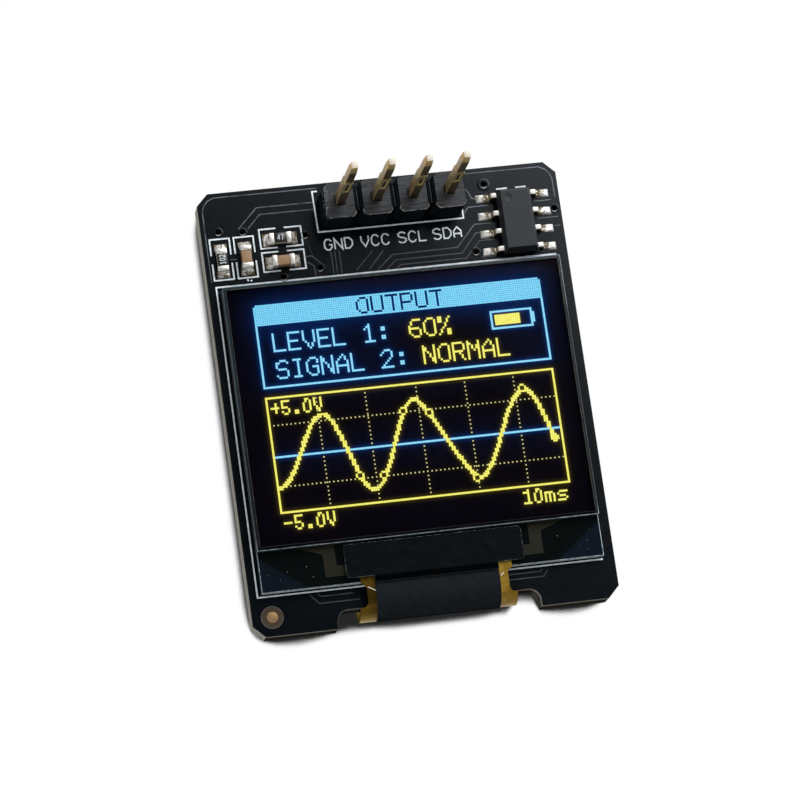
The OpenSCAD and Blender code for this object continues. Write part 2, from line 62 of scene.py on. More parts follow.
# Circuit board
# A blank of glass-fibre laminate, coated on both faces with satin black solder mask.
# Its outline is routed, which leaves the pale laminate bare along the edges and in the notch.
mm = 0.001


def feed(socket, value):
    """Links a signal to a socket, or sets it to a plain value. A colour is three shares of light."""
    if isinstance(value, Signal):
        socket.id_data.links.new(value.socket, socket)
    elif socket.type == "RGBA":
        socket.default_value = (*value, 1)
    else:
        socket.default_value = value


class Signal:
    """An output of a material's nodes, so that the maths on it reads as plain expressions."""

    def __init__(self, socket):
        self.socket = socket

    def node(self, kind, settings={}, inputs={}, output=0):
        """Adds a node to the same material, sets it, feeds it and gives one of its outputs."""
        made = self.socket.id_data.nodes.new("ShaderNode" + kind)
        for name, value in settings.items():
            setattr(made, name, value)
        for name, value in inputs.items():
            feed(made.inputs[name], value)
        return Signal(made.outputs[output])

    def maths(self, operation, *values):
        inputs = dict(enumerate(values))
        return self.node("Math", {"operation": operation}, inputs)

    def __add__(self, other):
        return self.maths("ADD", self, other)

    def __radd__(self, other):
        return self.maths("ADD", other, self)

    def __sub__(self, other):
        return self.maths("SUBTRACT", self, other)

    def __rsub__(self, other):
        return self.maths("SUBTRACT", other, self)

    def __mul__(self, other):
        return self.maths("MULTIPLY", self, other)

    def __rmul__(self, other):
        return self.maths("MULTIPLY", other, self)

    def __truediv__(self, other):
        return self.maths("DIVIDE", self, other)

    def __abs__(self):
        return self.maths("ABSOLUTE", self)

    def most(self, other):
        return self.maths("MAXIMUM", self, other)

    def rise(self, low, high):
        """0 below low, 1 above high and a smooth step between them."""
        inputs = {"Value": self, "From Min": low, "From Max": high}
        return self.node("MapRange", {"interpolation_type": "SMOOTHSTEP"}, inputs)

    def mix(self, low, high):
        """The colour low where this is 0, and high where it is 1."""
        return self.node("Mix", {"data_type": "RGBA"}, {0: self, 6: low, 7: high}, 2)

    def axis(self, index):
        return self.node("SeparateXYZ", {}, {0: self}, index)

    def normal(self):
        """The way the surface faces."""
        return self.node("NewGeometry", output="Normal")

    def stretched(self, x, y, z, turn=0):
        """The same place with its axes scaled, after a turn about the upright axis."""
        inputs = {"Vector": self, "Rotation": (0, 0, turn), "Scale": (1 / x, 1 / y, 1 / z)}
        return self.node("Mapping", {"vector_type": "TEXTURE"}, inputs)

    def grain(self, scale, detail=3, roughness=0.55):
        """Noise from 0 to 1, with about scale spots to the millimetre."""
        inputs = {"Vector": self, "Scale": scale, "Detail": detail, "Roughness": roughness}
        return self.node("TexNoise", {}, inputs)

    def relief(self, depth, distance=0.02 * mm):
        """A surface normal that stands up where this is high."""
        return self.node("Bump", {}, {"Height": self, "Strength": depth, "Distance": distance})


def new_finish(name):
    """A new material, its shader, and the surface's place in millimetres."""
    material = bpy.data.materials.new(name)
    material.use_nodes = True
    tree = material.node_tree
    place = Signal(tree.nodes.new("ShaderNodeTexCoord").outputs["Object"])
    place = place.node("VectorMath", {"operation": "SCALE"}, {0: place, "Scale": 1 / mm})
    return material, tree.nodes["Principled BSDF"], place


def paint(shader, sockets):
    """Feeds a shader's sockets, given by their names."""
    for name, value in sockets.items():
        feed(shader.inputs[name], value)


def pick(piece):
    """Makes a piece the only one selected."""
    bpy.ops.object.select_all(action="DESELECT")
    piece.select_set(True)
    bpy.context.view_layer.objects.active = piece


def dress(piece, slot, *materials):
    """Gives a new piece its finish, and fixes it to the module."""
    for material in materials:
        piece.data.materials.append(material)
    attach(piece, "root")


def softened(name, node, radius, slot, *materials):
    """A CAD piece with its sharp edges rounded, which stands for it. The last material is the edges'."""
    piece = bpy.data.objects.new(name, frame["nodes"][node].data.copy())
    piece.data.materials.clear()
    bpy.context.scene.collection.objects.link(piece)
    pick(piece)
    bpy.ops.object.mode_set(mode="EDIT")
    bpy.ops.mesh.select_all(action="SELECT")
    bpy.ops.mesh.remove_doubles(threshold=0.001 * mm)
    bpy.ops.mesh.dissolve_limited(angle_limit=math.radians(1))
    bpy.ops.object.mode_set(mode="OBJECT")
    dress(piece, slot, *materials)
    edges = piece.modifiers.new("edges", "BEVEL")
    edges.width = radius
    edges.segments = 2
    edges.angle_limit = math.radians(25)
    edges.material = len(materials) - 1
    edges.use_clamp_overlap = False
    bpy.ops.object.modifier_apply(modifier="edges")
    bpy.ops.object.shade_smooth_by_angle(angle=math.radians(35))
    piece.modifiers.new("flats", "WEIGHTED_NORMAL").keep_sharp = True
    bpy.ops.object.modifier_apply(modifier="flats")
    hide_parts(node)
    return piece


board_low, board_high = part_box("circuit_board")
board_top = board_high.z
mask_t = 0.03 * mm
resin_t = 0.3
mask_tint = (0.86, 0.94, 1)
masked, shader, place = new_finish("solder_mask")
clouds = place.grain(0.35)
mask_colour = clouds.mix((0.0004, 0.0015, 0.0028), (0.0012, 0.0028, 0.0048))
upward = place.normal().axis(2).rise(0.6, 0.8)
sunk = upward * (1 - place.axis(2).rise((board_top - mask_t) / mm, (board_top - mask_t / 3) / mm))
bare_floor = place.grain(9).mix((0.048, 0.034, 0.024), (0.078, 0.058, 0.042))
paint(shader, {
    "Base Color": sunk.mix(mask_colour, bare_floor),
    "Roughness": 0.22 + 0.08 * place.grain(1.1),
    "Specular IOR Level": 0.24,
    "Specular Tint": mask_tint,
    "Normal": place.grain(7, 2).relief(0.1),
})
# The left side is painted paler, for the light that falls on it, and the sides and resin line that face the
# front are painted darker, for shade.
routed, shader, place = new_finish("routed_laminate")
fibres = place.stretched(1.2, 1.2, 9).grain(1.6, 5, 0.7)
shaded_front_side = fibres.mix((0.006, 0.006, 0.005), (0.04, 0.038, 0.031))
lit_left_side = fibres.rise(0.25, 0.75).mix((0.16, 0.156, 0.14), (0.56, 0.545, 0.49))
other_sides = fibres.rise(0.25, 0.75).mix((0.022, 0.021, 0.018), (0.15, 0.14, 0.118))
from_left = place.axis(0) - board_low.x / mm
bare = from_left.rise(0.8, 1.4).mix(lit_left_side, other_sides)
lower_sides = (0 - place.normal().axis(1)).rise(0.75, 0.95)
depth = board_top / mm - place.axis(2)
under_mask = 1 - depth.rise(resin_t - 0.02, resin_t + 0.04)
pale_resin = fibres.mix((0.24, 0.235, 0.2), (0.46, 0.445, 0.38))
shaded_resin = fibres.mix((0.11, 0.105, 0.085), (0.32, 0.305, 0.26))
resin = lower_sides.mix(pale_resin, shaded_resin)
paint(shader, {
    "Base Color": under_mask.mix(lower_sides.mix(bare, shaded_front_side), resin),
    "Roughness": 0.7 + 0.1 * fibres,
    "Specular IOR Level": 0,
    "Normal": fibres.relief(0.35),
})
board = softened("masked_board", "circuit_board", 0.03 * mm, "board_mask", masked)
board.data.materials.append(routed)
for face in board.data.polygons:
    face.material_index = int(abs(face.normal.z) < 0.5)


# Vias
# Holes drilled through the board and plated with copper, to join its two faces.
# The mask runs over a low round pad at each end and darkens the lip of the hole.
def added(name, primitive, **settings):
    """A new piece, started from a primitive and selected alone."""
    bpy.ops.object.select_all(action="DESELECT")
    primitive(**settings)
    piece = bpy.context.active_object
    piece.name = name
    return piece


def open_piece(name):
    """An empty mesh, left open for modelling."""
    piece = added(name, bpy.ops.mesh.primitive_plane_add, size=mm, enter_editmode=True)
    bpy.ops.mesh.delete(type="VERT")
    return piece


def chain(points):
    """A run of edges through points, drawn out from one to the next, which stays selected."""
    bpy.ops.mesh.select_all(action="DESELECT")
    bpy.ops.mesh.primitive_plane_add(size=mm, location=points[0])
    bpy.ops.mesh.merge(type="CENTER")
    for start, end in zip(points, points[1:]):
        step = Vector(end) - Vector(start)
        bpy.ops.mesh.extrude_region_move(TRANSFORM_OT_translate={"value": step})
    bpy.ops.mesh.select_linked()


def close_piece():
    """Merges what meets, turns the faces outwards and ends the modelling."""
    bpy.ops.mesh.select_all(action="SELECT")
    bpy.ops.mesh.remove_doubles(threshold=0.001 * mm)
    bpy.ops.mesh.normals_make_consistent(inside=False)
    bpy.ops.object.mode_set(mode="OBJECT")
    bpy.ops.object.shade_smooth_by_angle(angle=math.radians(40))


def middle(node):
    """The centre of a CAD piece's box."""
    low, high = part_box(node)
    return (low + high) / 2


def beside(node, x, y):
    """A place on the board, given in millimetres from the middle of a piece."""
    at = middle(node)
    return Vector((at.x + x * mm, at.y + y * mm, 0))


# The last of these has a wider pad than the others
via_places = [
    beside("resistor_1", 0, 2.05),
    beside("capacitor_1", 0, 1.9),
    beside("resistor_2", 1.75, 0.1),
    beside("capacitor_2", 2.5, -0.65),
    beside("capacitor_2", -0.1, -1.05),
    beside("ic_body", 2.85, 0.75),
    beside("ic_body", -3.05, -1.8),
    beside("ic_body", -1.85, 2.92),
]
via_lip_r = 0.25 * mm
via_bore_r = 0.185 * mm
via_rise = 0.022 * mm
via_lip = [(via_lip_r, via_rise), (0.19 * mm, 0), (0.165 * mm, -0.05 * mm), (0.16 * mm, -0.12 * mm)]
via_pad = 0.35 * mm
wide_pad = 0.47 * mm
vias = open_piece("vias")
for at in via_places:
    pad = wide_pad if at == via_places[-1] else via_pad
    profile = [(pad, 0), (pad - 0.05 * mm, via_rise)] + via_lip
    upper = [(at.x + r, at.y, board_top + z) for r, z in profile]
    lower = [(at.x + r, at.y, board_low.z - z) for r, z in reversed(profile)]
    chain(upper + lower)
    bpy.ops.mesh.spin(steps=24, angle=math.tau, center=at, axis=(0, 0, 1))
close_piece()
plated, shader, place = new_finish("plated_via")
normal = place.normal()
# The side of each lip that faces the board's upper end has a painted glint.
glint = normal.axis(1).rise(0.12, 0.26)
bright = place.grain(6).mix((0.3, 0.3, 0.28), (0.6, 0.6, 0.58))
paint(shader, {
    "Base Color": glint.mix((0.002, 0.0025, 0.003), bright),
    "Roughness": 0.5 + 0.2 * place.grain(12),
    "Specular IOR Level": 0.1,
})


def mottled(name, spots, low, high, rough, sockets={}, detail=3):
    """A simple finish: two tones in spots, and a roughness that varies in finer ones."""
    material, shader, place = new_finish(name)
    least, swing, fine_spots = rough
    paint(shader, {
        "Base Color": place.grain(spots, detail).mix(low, high),
        "Roughness": least + swing * place.grain(fine_spots),
        **sockets,
    })
    return material


# The bore is painted near black, for the shade deep in the hole.
bore = mottled("dark_bore", 6, (0.0004, 0.0004, 0.0004), (0.001, 0.001, 0.001), (0.7, 0.2, 12),
               {"Specular IOR Level": 0})
dress(vias, "board_mask", masked, plated, bore)
for face in vias.data.polygons:
    reach = min((face.center.xy - at.xy).length for at in via_places)
    face.material_index = (reach < via_lip_r - 0.005 * mm) + (reach < via_bore_r)


# Copper tracks
# Tracks etched in the copper under the mask, from the header to the chips and to the panel.
# The mask stands up along their edges in fine ridges, painted pale for the highlight they catch, more so
# towards the header.
def drawn(name, runs, width, height):
    """Lines of one width through runs of points: each run is raised to a wall and thickened evenly."""
    piece = open_piece(name)
    for run in runs:
        chain(run)
    bpy.ops.mesh.select_all(action="SELECT")
    bpy.ops.mesh.remove_doubles(threshold=0.001 * mm)
    bpy.ops.mesh.extrude_region_move(TRANSFORM_OT_translate={"value": (0, 0, height)})
    bpy.ops.object.mode_set(mode="OBJECT")
    wall = piece.modifiers.new("wall", "SOLIDIFY")
    wall.thickness = width
    wall.offset = 0
    wall.use_even_offset = True
    bpy.ops.object.modifier_apply(modifier="wall")
    bpy.ops.object.mode_set(mode="EDIT")
    close_piece()
    return piece


def on_board(runs):
    """Runs of points in millimetres, laid on the board's face."""
    return [[(x * mm, y * mm, board_top) for x, y in run] for run in runs]


track_runs = [
    [(-4.6, 14.2), (-8.54, 14.2), (-9.96, 12.8)],
    [(-4.62, 13.7), (-8.38, 13.7), (-9.3, 12.76)],
    [(-5.6, 10.42), (-5.17, 10.42), (-4.45, 9.7)],
    [(-5.52, 10.02), (-5.11, 9.69), (-5.07, 9.0)],
    [(-10.78, 10.7), (-10.24, 10.7)],
    [(7.56, 11.51), (6.36, 11.51), (4.96, 10.0), (0.4, 9.95), (-0.78, 8.98)],
    [(6.75, 10.9), (6.38, 10.9), (5.24, 9.57), (0.56, 9.55), (-0.14, 8.94)],
    [(7.64, 10.32), (6.56, 10.32), (5.48, 9.18), (0.86, 9.18), (0.56, 8.94)],
    [(-0.94, 10.36), (-2.24, 9.1)],
    [(-0.19, 10.32), (-1.37, 9.04)],
    [(-3.82, 10.6), (-3.82, 9.0)],
    [(-3.56, 10.6), (-3.56, 9.0)],
    [(-3.25, 10.6), (-3.25, 9.0)],
    [(5.9, 14.3), (6.26, 13.84), (6.44, 13.37), (6.8, 13.31)],
    [(5.8, 12.4), (6.1, 12.77), (7.56, 12.78)],
    [(6.56, 9.13), (7.6, 9.13)],
    [(10.8, 12.75), (11.98, 12.75)],
    [(10.83, 11.5), (12.3, 11.5)],
    [(11.96, 10.87), (12.34, 10.87)],
    [(10.56, 9.15), (11.82, 9.15)],
    [(-8.47, -13.0), (-7.89, -13.63), (-5.15, -13.63)],
    [(-7.94, -12.96), (-7.73, -13.16), (-5.57, -13.16)],
    [(5.05, -13.5), (7.55, -13.5), (7.85, -13.12)],
    [(5.17, -13.14), (7.37, -13.14), (7.52, -13.0)],
]
ridge_w = 0.07 * mm
ridge_h = 0.016 * mm
pour = 0.32
side, end = board_high.x / mm - pour, board_high.y / mm - pour
pour_corner = [(0, 0.95), (0.13, 0.55), (0.42, 0.2), (0.85, 0)]
left_corner = [(-side + x, end - y) for x, y in pour_corner]
right_corner = [(side - x, end - y) for x, y in reversed(pour_corner)]
track_runs.append([(-side, 9.2), *left_corner, (-4.2, end)])
track_runs.append([(6.0, end), *right_corner, (side, 12.9)])
tracks = drawn("track_edges", on_board(track_runs), ridge_w, ridge_h)
ridge, shader, place = new_finish("mask_ridge")
# The ridges' pale tone is painted highlight, stronger towards the header.
by_header = place.axis(1).rise(9, 12)
ridge_sheen = place.grain(1.3).rise(0.25, 0.7) * (0.25 + 0.75 * by_header)
paint(shader, {
    "Base Color": ridge_sheen.mix((0.012, 0.016, 0.02), (0.13, 0.15, 0.17)),
    "Roughness": 0.3 + 0.2 * place.grain(5),
})
dress(tracks, "board_mask", ridge)


# Silkscreen
# White ink printed through a mesh on the finished mask: the panel's outline, the header's corner,
# a broken box round each chip, marks at the small-outline chip and the names of the four pins.
def broken_box(node, half_x, half_y, gap):
    """Two brackets that face each other across a gap in the longer sides of a box round a chip."""
    at = middle(node) / mm
    lies_across = half_x > half_y
    long, short = (half_x, half_y) if lies_across else (half_y, half_x)
    centre = (at.x + chip_box_shift * lies_across, at.y + chip_box_lift)
    runs = []
    for sign in (-1, 1):
        bracket = [(sign * gap, short), (sign * long, short), (sign * long, -short), (sign * gap, -short)]
        if not lies_across:
            bracket = [(y, x) for x, y in bracket]
        runs.append([(centre[0] + x, centre[1] + y) for x, y in bracket])
    return runs


# Each letter is a few strokes across a box of 1 by 1
LETTERS = {
    "A": [[(0, 0), (0, 0.62), (0.5, 1), (1, 0.62), (1, 0)], [(0, 0.36), (1, 0.36)]],
    "C": [[(1, 0.8), (0.7, 1), (0.3, 1), (0, 0.75), (0, 0.25), (0.3, 0), (0.7, 0), (1, 0.2)]],
    "D": [[(0, 0), (0, 1), (0.6, 1), (1, 0.7), (1, 0.3), (0.6, 0), (0, 0)]],
    "E": [[(1, 1), (0, 1), (0, 0), (1, 0)], [(0, 0.5), (0.75, 0.5)]],
    "G": [[(1, 0.8), (0.7, 1), (0.3, 1), (0, 0.75), (0, 0.25), (0.3, 0), (0.7, 0), (1, 0.25), (1, 0.48),
           (0.6, 0.48)]],
    "I": [[(0.2, 1), (0.8, 1)], [(0.5, 1), (0.5, 0)], [(0.2, 0), (0.8, 0)]],
    "L": [[(0, 1), (0, 0), (1, 0)]],
    "M": [[(0, 0), (0, 1), (0.5, 0.5), (1, 1), (1, 0)]],
    "N": [[(0, 0), (0, 1), (1, 0), (1, 1)]],
    "O": [[(0.3, 1), (0.7, 1), (1, 0.75), (1, 0.25), (0.7, 0), (0.3, 0), (0, 0.25), (0, 0.75), (0.3, 1)]],
    "P": [[(0, 0), (0, 1), (0.7, 1), (1, 0.85), (1, 0.6), (0.7, 0.45), (0, 0.45)]],
    "R": [[(0, 0), (0, 1), (0.7, 1), (1, 0.85), (1, 0.62), (0.7, 0.48), (0, 0.48)], [(0.45, 0.48), (1, 0)]],
    "S": [[(1, 0.85), (0.7, 1), (0.3, 1), (0, 0.85), (0, 0.65), (0.3, 0.52), (0.7, 0.48), (1, 0.35),
           (1, 0.15), (0.7, 0), (0.3, 0), (0, 0.15)]],
    "T": [[(0, 1), (1, 1)], [(0.5, 1), (0.5, 0)]],
    "U": [[(0, 1), (0, 0.2), (0.3, 0), (0.7, 0), (1, 0.2), (1, 1)]],
    "V": [[(0, 1), (0, 0.55), (0.5, 0), (1, 0.55), (1, 1)]],
    "m": [[(0, 0), (0, 0.6), (0.85, 0.6), (1, 0.5), (1, 0)], [(0.5, 0.6), (0.5, 0)]],
    "s": [[(1, 0.6), (0.2, 0.6), (0, 0.45), (0.2, 0.3), (0.8, 0.3), (1, 0.15), (0.8, 0), (0, 0)]],
    "1": [[(0.1, 0.8), (0.5, 1), (0.5, 0)], [(0.1, 0), (0.9, 0)]],
    "2": [[(0, 0.8), (0.3, 1), (0.7, 1), (1, 0.8), (1, 0.6), (0, 0), (1, 0)]],
    "4": [[(0.75, 0), (0.75, 1), (0, 0.3), (1, 0.3)]],
    "5": [[(1, 1), (0, 1), (0, 0.58), (0.7, 0.58), (1, 0.4), (1, 0.18), (0.7, 0), (0.3, 0), (0, 0.15)]],
    "6": [[(0.9, 1), (0.4, 1), (0, 0.6), (0, 0.2), (0.3, 0), (0.7, 0), (1, 0.2), (1, 0.38), (0.7, 0.55),
           (0, 0.55)]],
    "7": [[(0, 1), (1, 1), (0.4, 0)]],
    "%": [[(0, 0), (1, 1)], [(0, 1), (0.2, 1), (0.2, 0.8), (0, 0.8), (0, 1)],
          [(0.8, 0.2), (1, 0.2), (1, 0), (0.8, 0), (0.8, 0.2)]],
    ":": [[(0.4, 0.75), (0.6, 0.75), (0.6, 0.65), (0.4, 0.65)],
          [(0.4, 0.25), (0.6, 0.25), (0.6, 0.15), (0.4, 0.15)]],
    ".": [[(0.4, 0), (0.6, 0), (0.6, 0.12), (0.4, 0.12)]],
    "+": [[(0.5, 0.8), (0.5, 0.2)], [(0, 0.5), (1, 0.5)]],
    "-": [[(0, 0.5), (1, 0.5)]],
    " ": [],
}
LETTERS["0"] = LETTERS["O"]

panel_left, panel_foot = -12.0, -12.78
panel_right, panel_head = 11.75, 8.85
chip_box_lift = 0.12
chip_box_shift = 0.085
chip_box_short = 0.68
chip_box_long = 1.45
chip_box_gap = 0.3
outlines = [
    [(panel_right, panel_foot), (panel_left, panel_foot), (panel_left, panel_head),
     (panel_right, panel_head)],
    [(-4.2, 14.95), (-4.56, 14.95), (-4.5, 12.04), (5.68, 12.04), (5.68, 12.69)],
    [(8.25, 13.87), (9.02, 13.87)],
    [(9.6, 13.87), (10.33, 13.87)],
]
for node in ("resistor_1", "capacitor_1"):
    outlines += broken_box(node, chip_box_short, chip_box_long, chip_box_gap)
for node in ("resistor_2", "capacitor_2"):
    outlines += broken_box(node, chip_box_long, chip_box_short, chip_box_gap)
outlines.append([(-9.8, 9.22), (-9.72, 9.1)])
outlines.append([(-9.55, 9.16), (-9.5, 9.05)])
ink_t = 0.02 * mm
outline_w = 0.105 * mm
outline_ink = drawn("silkscreen_outlines", on_board(outlines), outline_w, ink_t)

label_h = 0.74
label_letter_w = 0.51
label_step = 0.715
label_low = 10.72
label_stroke_w = 0.098 * mm
label_starts = {"GND": -4.2, "VCC": -1.63, "SCL": 0.97, "SDA": 3.42}
strokes = []
for word, start in label_starts.items():
    for index, letter in enumerate(word):
        left = start + index * label_step
        for stroke in LETTERS[letter]:
            strokes.append([(left + x * label_letter_w, label_low + y * label_h) for x, y in stroke])
label_ink = drawn("silkscreen_pin_names", on_board(strokes), label_stroke_w, ink_t)

ink, shader, place = new_finish("white_ink")
thin = place.grain(3.2, 4).rise(0.3, 0.65)
paint(shader, {
    "Base Color": thin.mix((0.6, 0.69, 0.75), (0.88, 0.95, 0.99)),
    "Roughness": 0.6 + 0.2 * place.grain(8),
    "Normal": place.grain(14).relief(0.3),
})
dress(outline_ink, "board_mask", ink)
dress(label_ink, "board_mask", ink)


# Fiducial
# A round copper dot, bare in its opening in the mask, for the assembly machine's camera.
# It is etched with the tracks and slightly tarnished.
copper = mottled("bare_copper", 5, (0.22, 0.125, 0.05), (0.41, 0.265, 0.13), (0.42, 0.2, 9),
                 {"Metallic": 0.7}, detail=4)
softened("fiducial_dot", "fiducial_pad", 0.008 * mm, "bare_copper", copper)


# Pin header housing
# Four moulded units of black plastic in one strip, with a break groove between neighbours.
# The top has the fine lines of the mould. Its rounded front edges are painted pale for their highlight,
# the other rounded edges near black, and the sides darker than the top, for shade.
header_low, header_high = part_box("header_housing")
housing_top = header_high.z / mm
chipped = (0.17, 0.17, 0.18)


def broken_at(place):
    """Rough specks where the strip was snapped off at its left end."""
    at_end = 1 - (place.axis(0) - header_low.x / mm).rise(0.1, 0.4)
    high_up = place.axis(2).rise(housing_top - 0.9, housing_top - 0.3)
    specks = place.stretched(1, 1, 0.6).grain(7, 3, 0.7).rise(0.5, 0.62)
    return at_end * high_up * specks


plastic, shader, place = new_finish("header_plastic")
mould_lines = place.stretched(0.4, 6, 6).grain(2.2, 4, 0.7)
streaked = mould_lines.rise(0.3, 0.7).mix((0.014, 0.016, 0.0185), (0.062, 0.067, 0.074))
paint(shader, {
    "Base Color": broken_at(place).mix(streaked, chipped),
    "Roughness": 0.36 + 0.26 * mould_lines,
    "Specular IOR Level": 0.18,
    "Normal": mould_lines.relief(0.45),
})
plastic_edge, shader, place = new_finish("header_plastic_edge")
# Along the front of the top the rounded edge is painted pale, for its highlight; elsewhere it is painted
# near black.
from_front = place.axis(1) - header_low.y / mm
at_top = place.axis(2).rise(housing_top - 0.12, housing_top - 0.06) * (1 - from_front.rise(0.4, 0.5))
front_rim_highlight = place.grain(2.5, 4).rise(0.3, 0.7).mix((0.05, 0.05, 0.05), (0.36, 0.35, 0.345))
paint(shader, {
    "Base Color": at_top.mix((0.001, 0.0012, 0.0014), front_rim_highlight),
    "Roughness": 0.45 + 0.15 * place.grain(6),
    "Specular IOR Level": 0,
})
plastic_side, shader, place = new_finish("header_plastic_side")
# The sides are painted darker than the top, for shade.
whole = place.grain(3).mix((0.005, 0.0075, 0.0095), (0.012, 0.016, 0.0195))
paint(shader, {
    "Base Color": broken_at(place).mix(whole, chipped),
    "Roughness": 0.6 + 0.1 * place.grain(5),
    "Specular IOR Level": 0,
})
strip = softened("header_strip", "header_housing", 0.045 * mm, "header_plastic", plastic, plastic_edge)
strip.data.materials.append(plastic_side)
for face in strip.data.polygons:
    if face.material_index == 0 and abs(face.normal.z) < 0.6:
        face.material_index = 2


# Header pins
# Square brass pins with a gold flash, drawn as wire, coined and cut, then pressed into the strip.
# Drawing leaves fine lines along each pin, with dark streaks between them. The faces to the front and back
# are painted as shaded bronze and the sides as lit gold; the foot, slot and rims carry painted shade and
# highlight.
pin_pitch = abs(middle("header_pin_2").x - middle("header_pin_1").x) / mm
slot_half = 0.14
slot_low, slot_high = housing_top + 2.8, housing_top + 4.45
pin_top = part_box("header_pin_1")[1].z / mm
brass, shader, place = new_finish("pin_brass")
normal = place.normal()
# The sides that face left and right are painted as lit gold, the faces to the front and back as shaded
# bronze.
lit_pin_sides = abs(normal.axis(0)).rise(0.6, 0.8)
# The flat cut end is painted pale and less metallic, for its highlight.
cut_end = normal.axis(2).rise(0.8, 0.95) * place.axis(2).rise(pin_top - 0.05, pin_top - 0.02)
tip = place.axis(2).rise(pin_top - 1.03, pin_top - 0.98)
draw_lines = place.stretched(9, 9, 0.6).grain(1.4, 4, 0.65)
streaks = draw_lines.rise(0.3, 0.72)
shaded_pin_tone = streaks.mix((0.018, 0.011, 0.002), (0.155, 0.1, 0.026))
lit_pin_tone = streaks.mix((0.12, 0.076, 0.022), (0.5, 0.35, 0.14))
tan_tip = streaks.mix((0.4, 0.24, 0.07), (0.7, 0.45, 0.17))
across = (place.axis(0) - middle("header_pin_1").x / mm) / pin_pitch + 0.5
across = abs(across.maths("FRACT", across) - 0.5) * pin_pitch
along = place.axis(2)
# The coined slot is painted dark, for the shade in it, with a rim painted pale for highlight.
past_low = along.rise(slot_low - 0.03, slot_low + 0.03)
short_of_high = 1 - along.rise(slot_high - 0.03, slot_high + 0.03)
slot = (1 - across.rise(slot_half - 0.03, slot_half + 0.01)) * past_low * short_of_high
round_low = along.rise(slot_low - 0.14, slot_low - 0.08)
round_high = 1 - along.rise(slot_high + 0.08, slot_high + 0.14)
rim = (1 - across.rise(slot_half + 0.06, slot_half + 0.1)) * (1 - slot) * round_low * round_high
# Near the strip each pin is painted darker, for shade.
foot = 1 - along.rise(housing_top + 0.2, housing_top + 2.6)
shaft = (0.62 * foot).mix(lit_pin_sides.mix(shaded_pin_tone, lit_pin_tone), (0.026, 0.017, 0.005))
colour = tip.mix(shaft, tan_tip)
colour = rim.mix(colour, (0.62, 0.47, 0.2))
colour = slot.mix(colour, (0.03, 0.02, 0.007))
paint(shader, {
    "Base Color": cut_end.mix(colour, (0.66, 0.61, 0.53)),
    "Metallic": 0.45 - 0.4 * cut_end,
    "Roughness": 0.3 + 0.2 * draw_lines,
    "Normal": draw_lines.relief(0.2),
})
# The rounded edges of the pins are painted paler than their faces, for highlight.
brass_edge = mottled("pin_brass_edge", 3, (0.3, 0.2, 0.07), (0.78, 0.58, 0.27), (0.3, 0.1, 6),
                     {"Metallic": 0.45}, detail=4)
for number in range(1, 5):
    softened(f"brass_pin_{number}", f"header_pin_{number}", 0.03 * mm, "pin_brass", brass, brass_edge)


# Header solder
# Tin solder that fills the four holes and climbs each pin's tail under the board.
# It has set bright, with dull streaks and specks of brown flux.
def paint_solder(shader, place, dirt):
    """Bright tin, with brown flux where dirt is high."""
    flux = dirt.rise(0.5, 0.64)
    dull = place.grain(2.4, 4)
    tin_tone = dull.rise(0.3, 0.62).mix((0.4, 0.385, 0.35), (0.95, 0.94, 0.92))
    paint(shader, {
        "Base Color": flux.mix(tin_tone, (0.14, 0.1, 0.042)),
        "Metallic": 0.4 - 0.35 * flux,
        "Roughness": 0.28 + 0.14 * dull + 0.16 * flux,
        "Normal": place.grain(3, 2).relief(0.15),
    })


tin_solder, shader, place = new_finish("solder")
near_board = 1 - abs(place.axis(2) - board_top / mm).rise(0.08, 0.34)
paint_solder(shader, place, place.grain(3.2, 5, 0.7) + 0.14 * near_board)


def coat(node, material):
    """Gives a CAD piece that shows as it is its own finish."""
    frame["nodes"][node].material_slots[0].material = material


coat("header_solder", tin_solder)


# Chip package
# Black epoxy moulded round the lead frame of a small-outline chip, with drafted sides, a parting line
# half-way up and a dimple that marks the first lead. Its top is fine-grained and bare.
epoxy, shader, place = new_finish("package_epoxy")
specks = place.grain(16, 2, 0.8)
package_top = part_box("ic_body")[1].z / mm
upward = place.normal().axis(2).rise(0.8, 0.9)
depth = package_top - place.axis(2)
# The dimple's floor is painted darker, for the shade in the hollow.
dimple = upward * depth.rise(0.03, 0.05) * (1 - depth.rise(0.08, 0.1))
moulded = specks.rise(0.3, 0.75).mix((0.002, 0.0025, 0.0037), (0.0078, 0.0088, 0.0118))
paint(shader, {
    "Base Color": dimple.mix(moulded, (0.0012, 0.0014, 0.0018)),
    "Specular Tint": mask_tint,
    "Roughness": 0.5 + 0.15 * place.grain(3),
    "Normal": specks.relief(0.5),
})
# The rounded edges are painted paler than the top, for highlight.
package_edge = mottled("package_edge", 4, (0.012, 0.013, 0.014), (0.045, 0.047, 0.05), (0.42, 0.1, 9))
softened("package", "ic_body", 0.025 * mm, "package_epoxy", epoxy, package_edge)


# Chip leads
# Eight leads of tin-plated copper, stamped from one frame and bent to gull wings.
# Their flat tops are bright, and their other faces brown.
lead_plate, shader, place = new_finish("lead_plate")
upward = place.normal().axis(2).rise(0.5, 0.9)
wear = place.grain(5, 4)
bright = wear.mix((0.66, 0.64, 0.6), (0.94, 0.93, 0.9))
paint(shader, {
    "Base Color": upward.mix((0.24, 0.19, 0.09), bright),
    "Metallic": 0.4,
    "Roughness": 0.32 + 0.2 * wear,
})
softened("gull_wing_leads", "ic_leads", 0.03 * mm, "lead_tin", lead_plate)


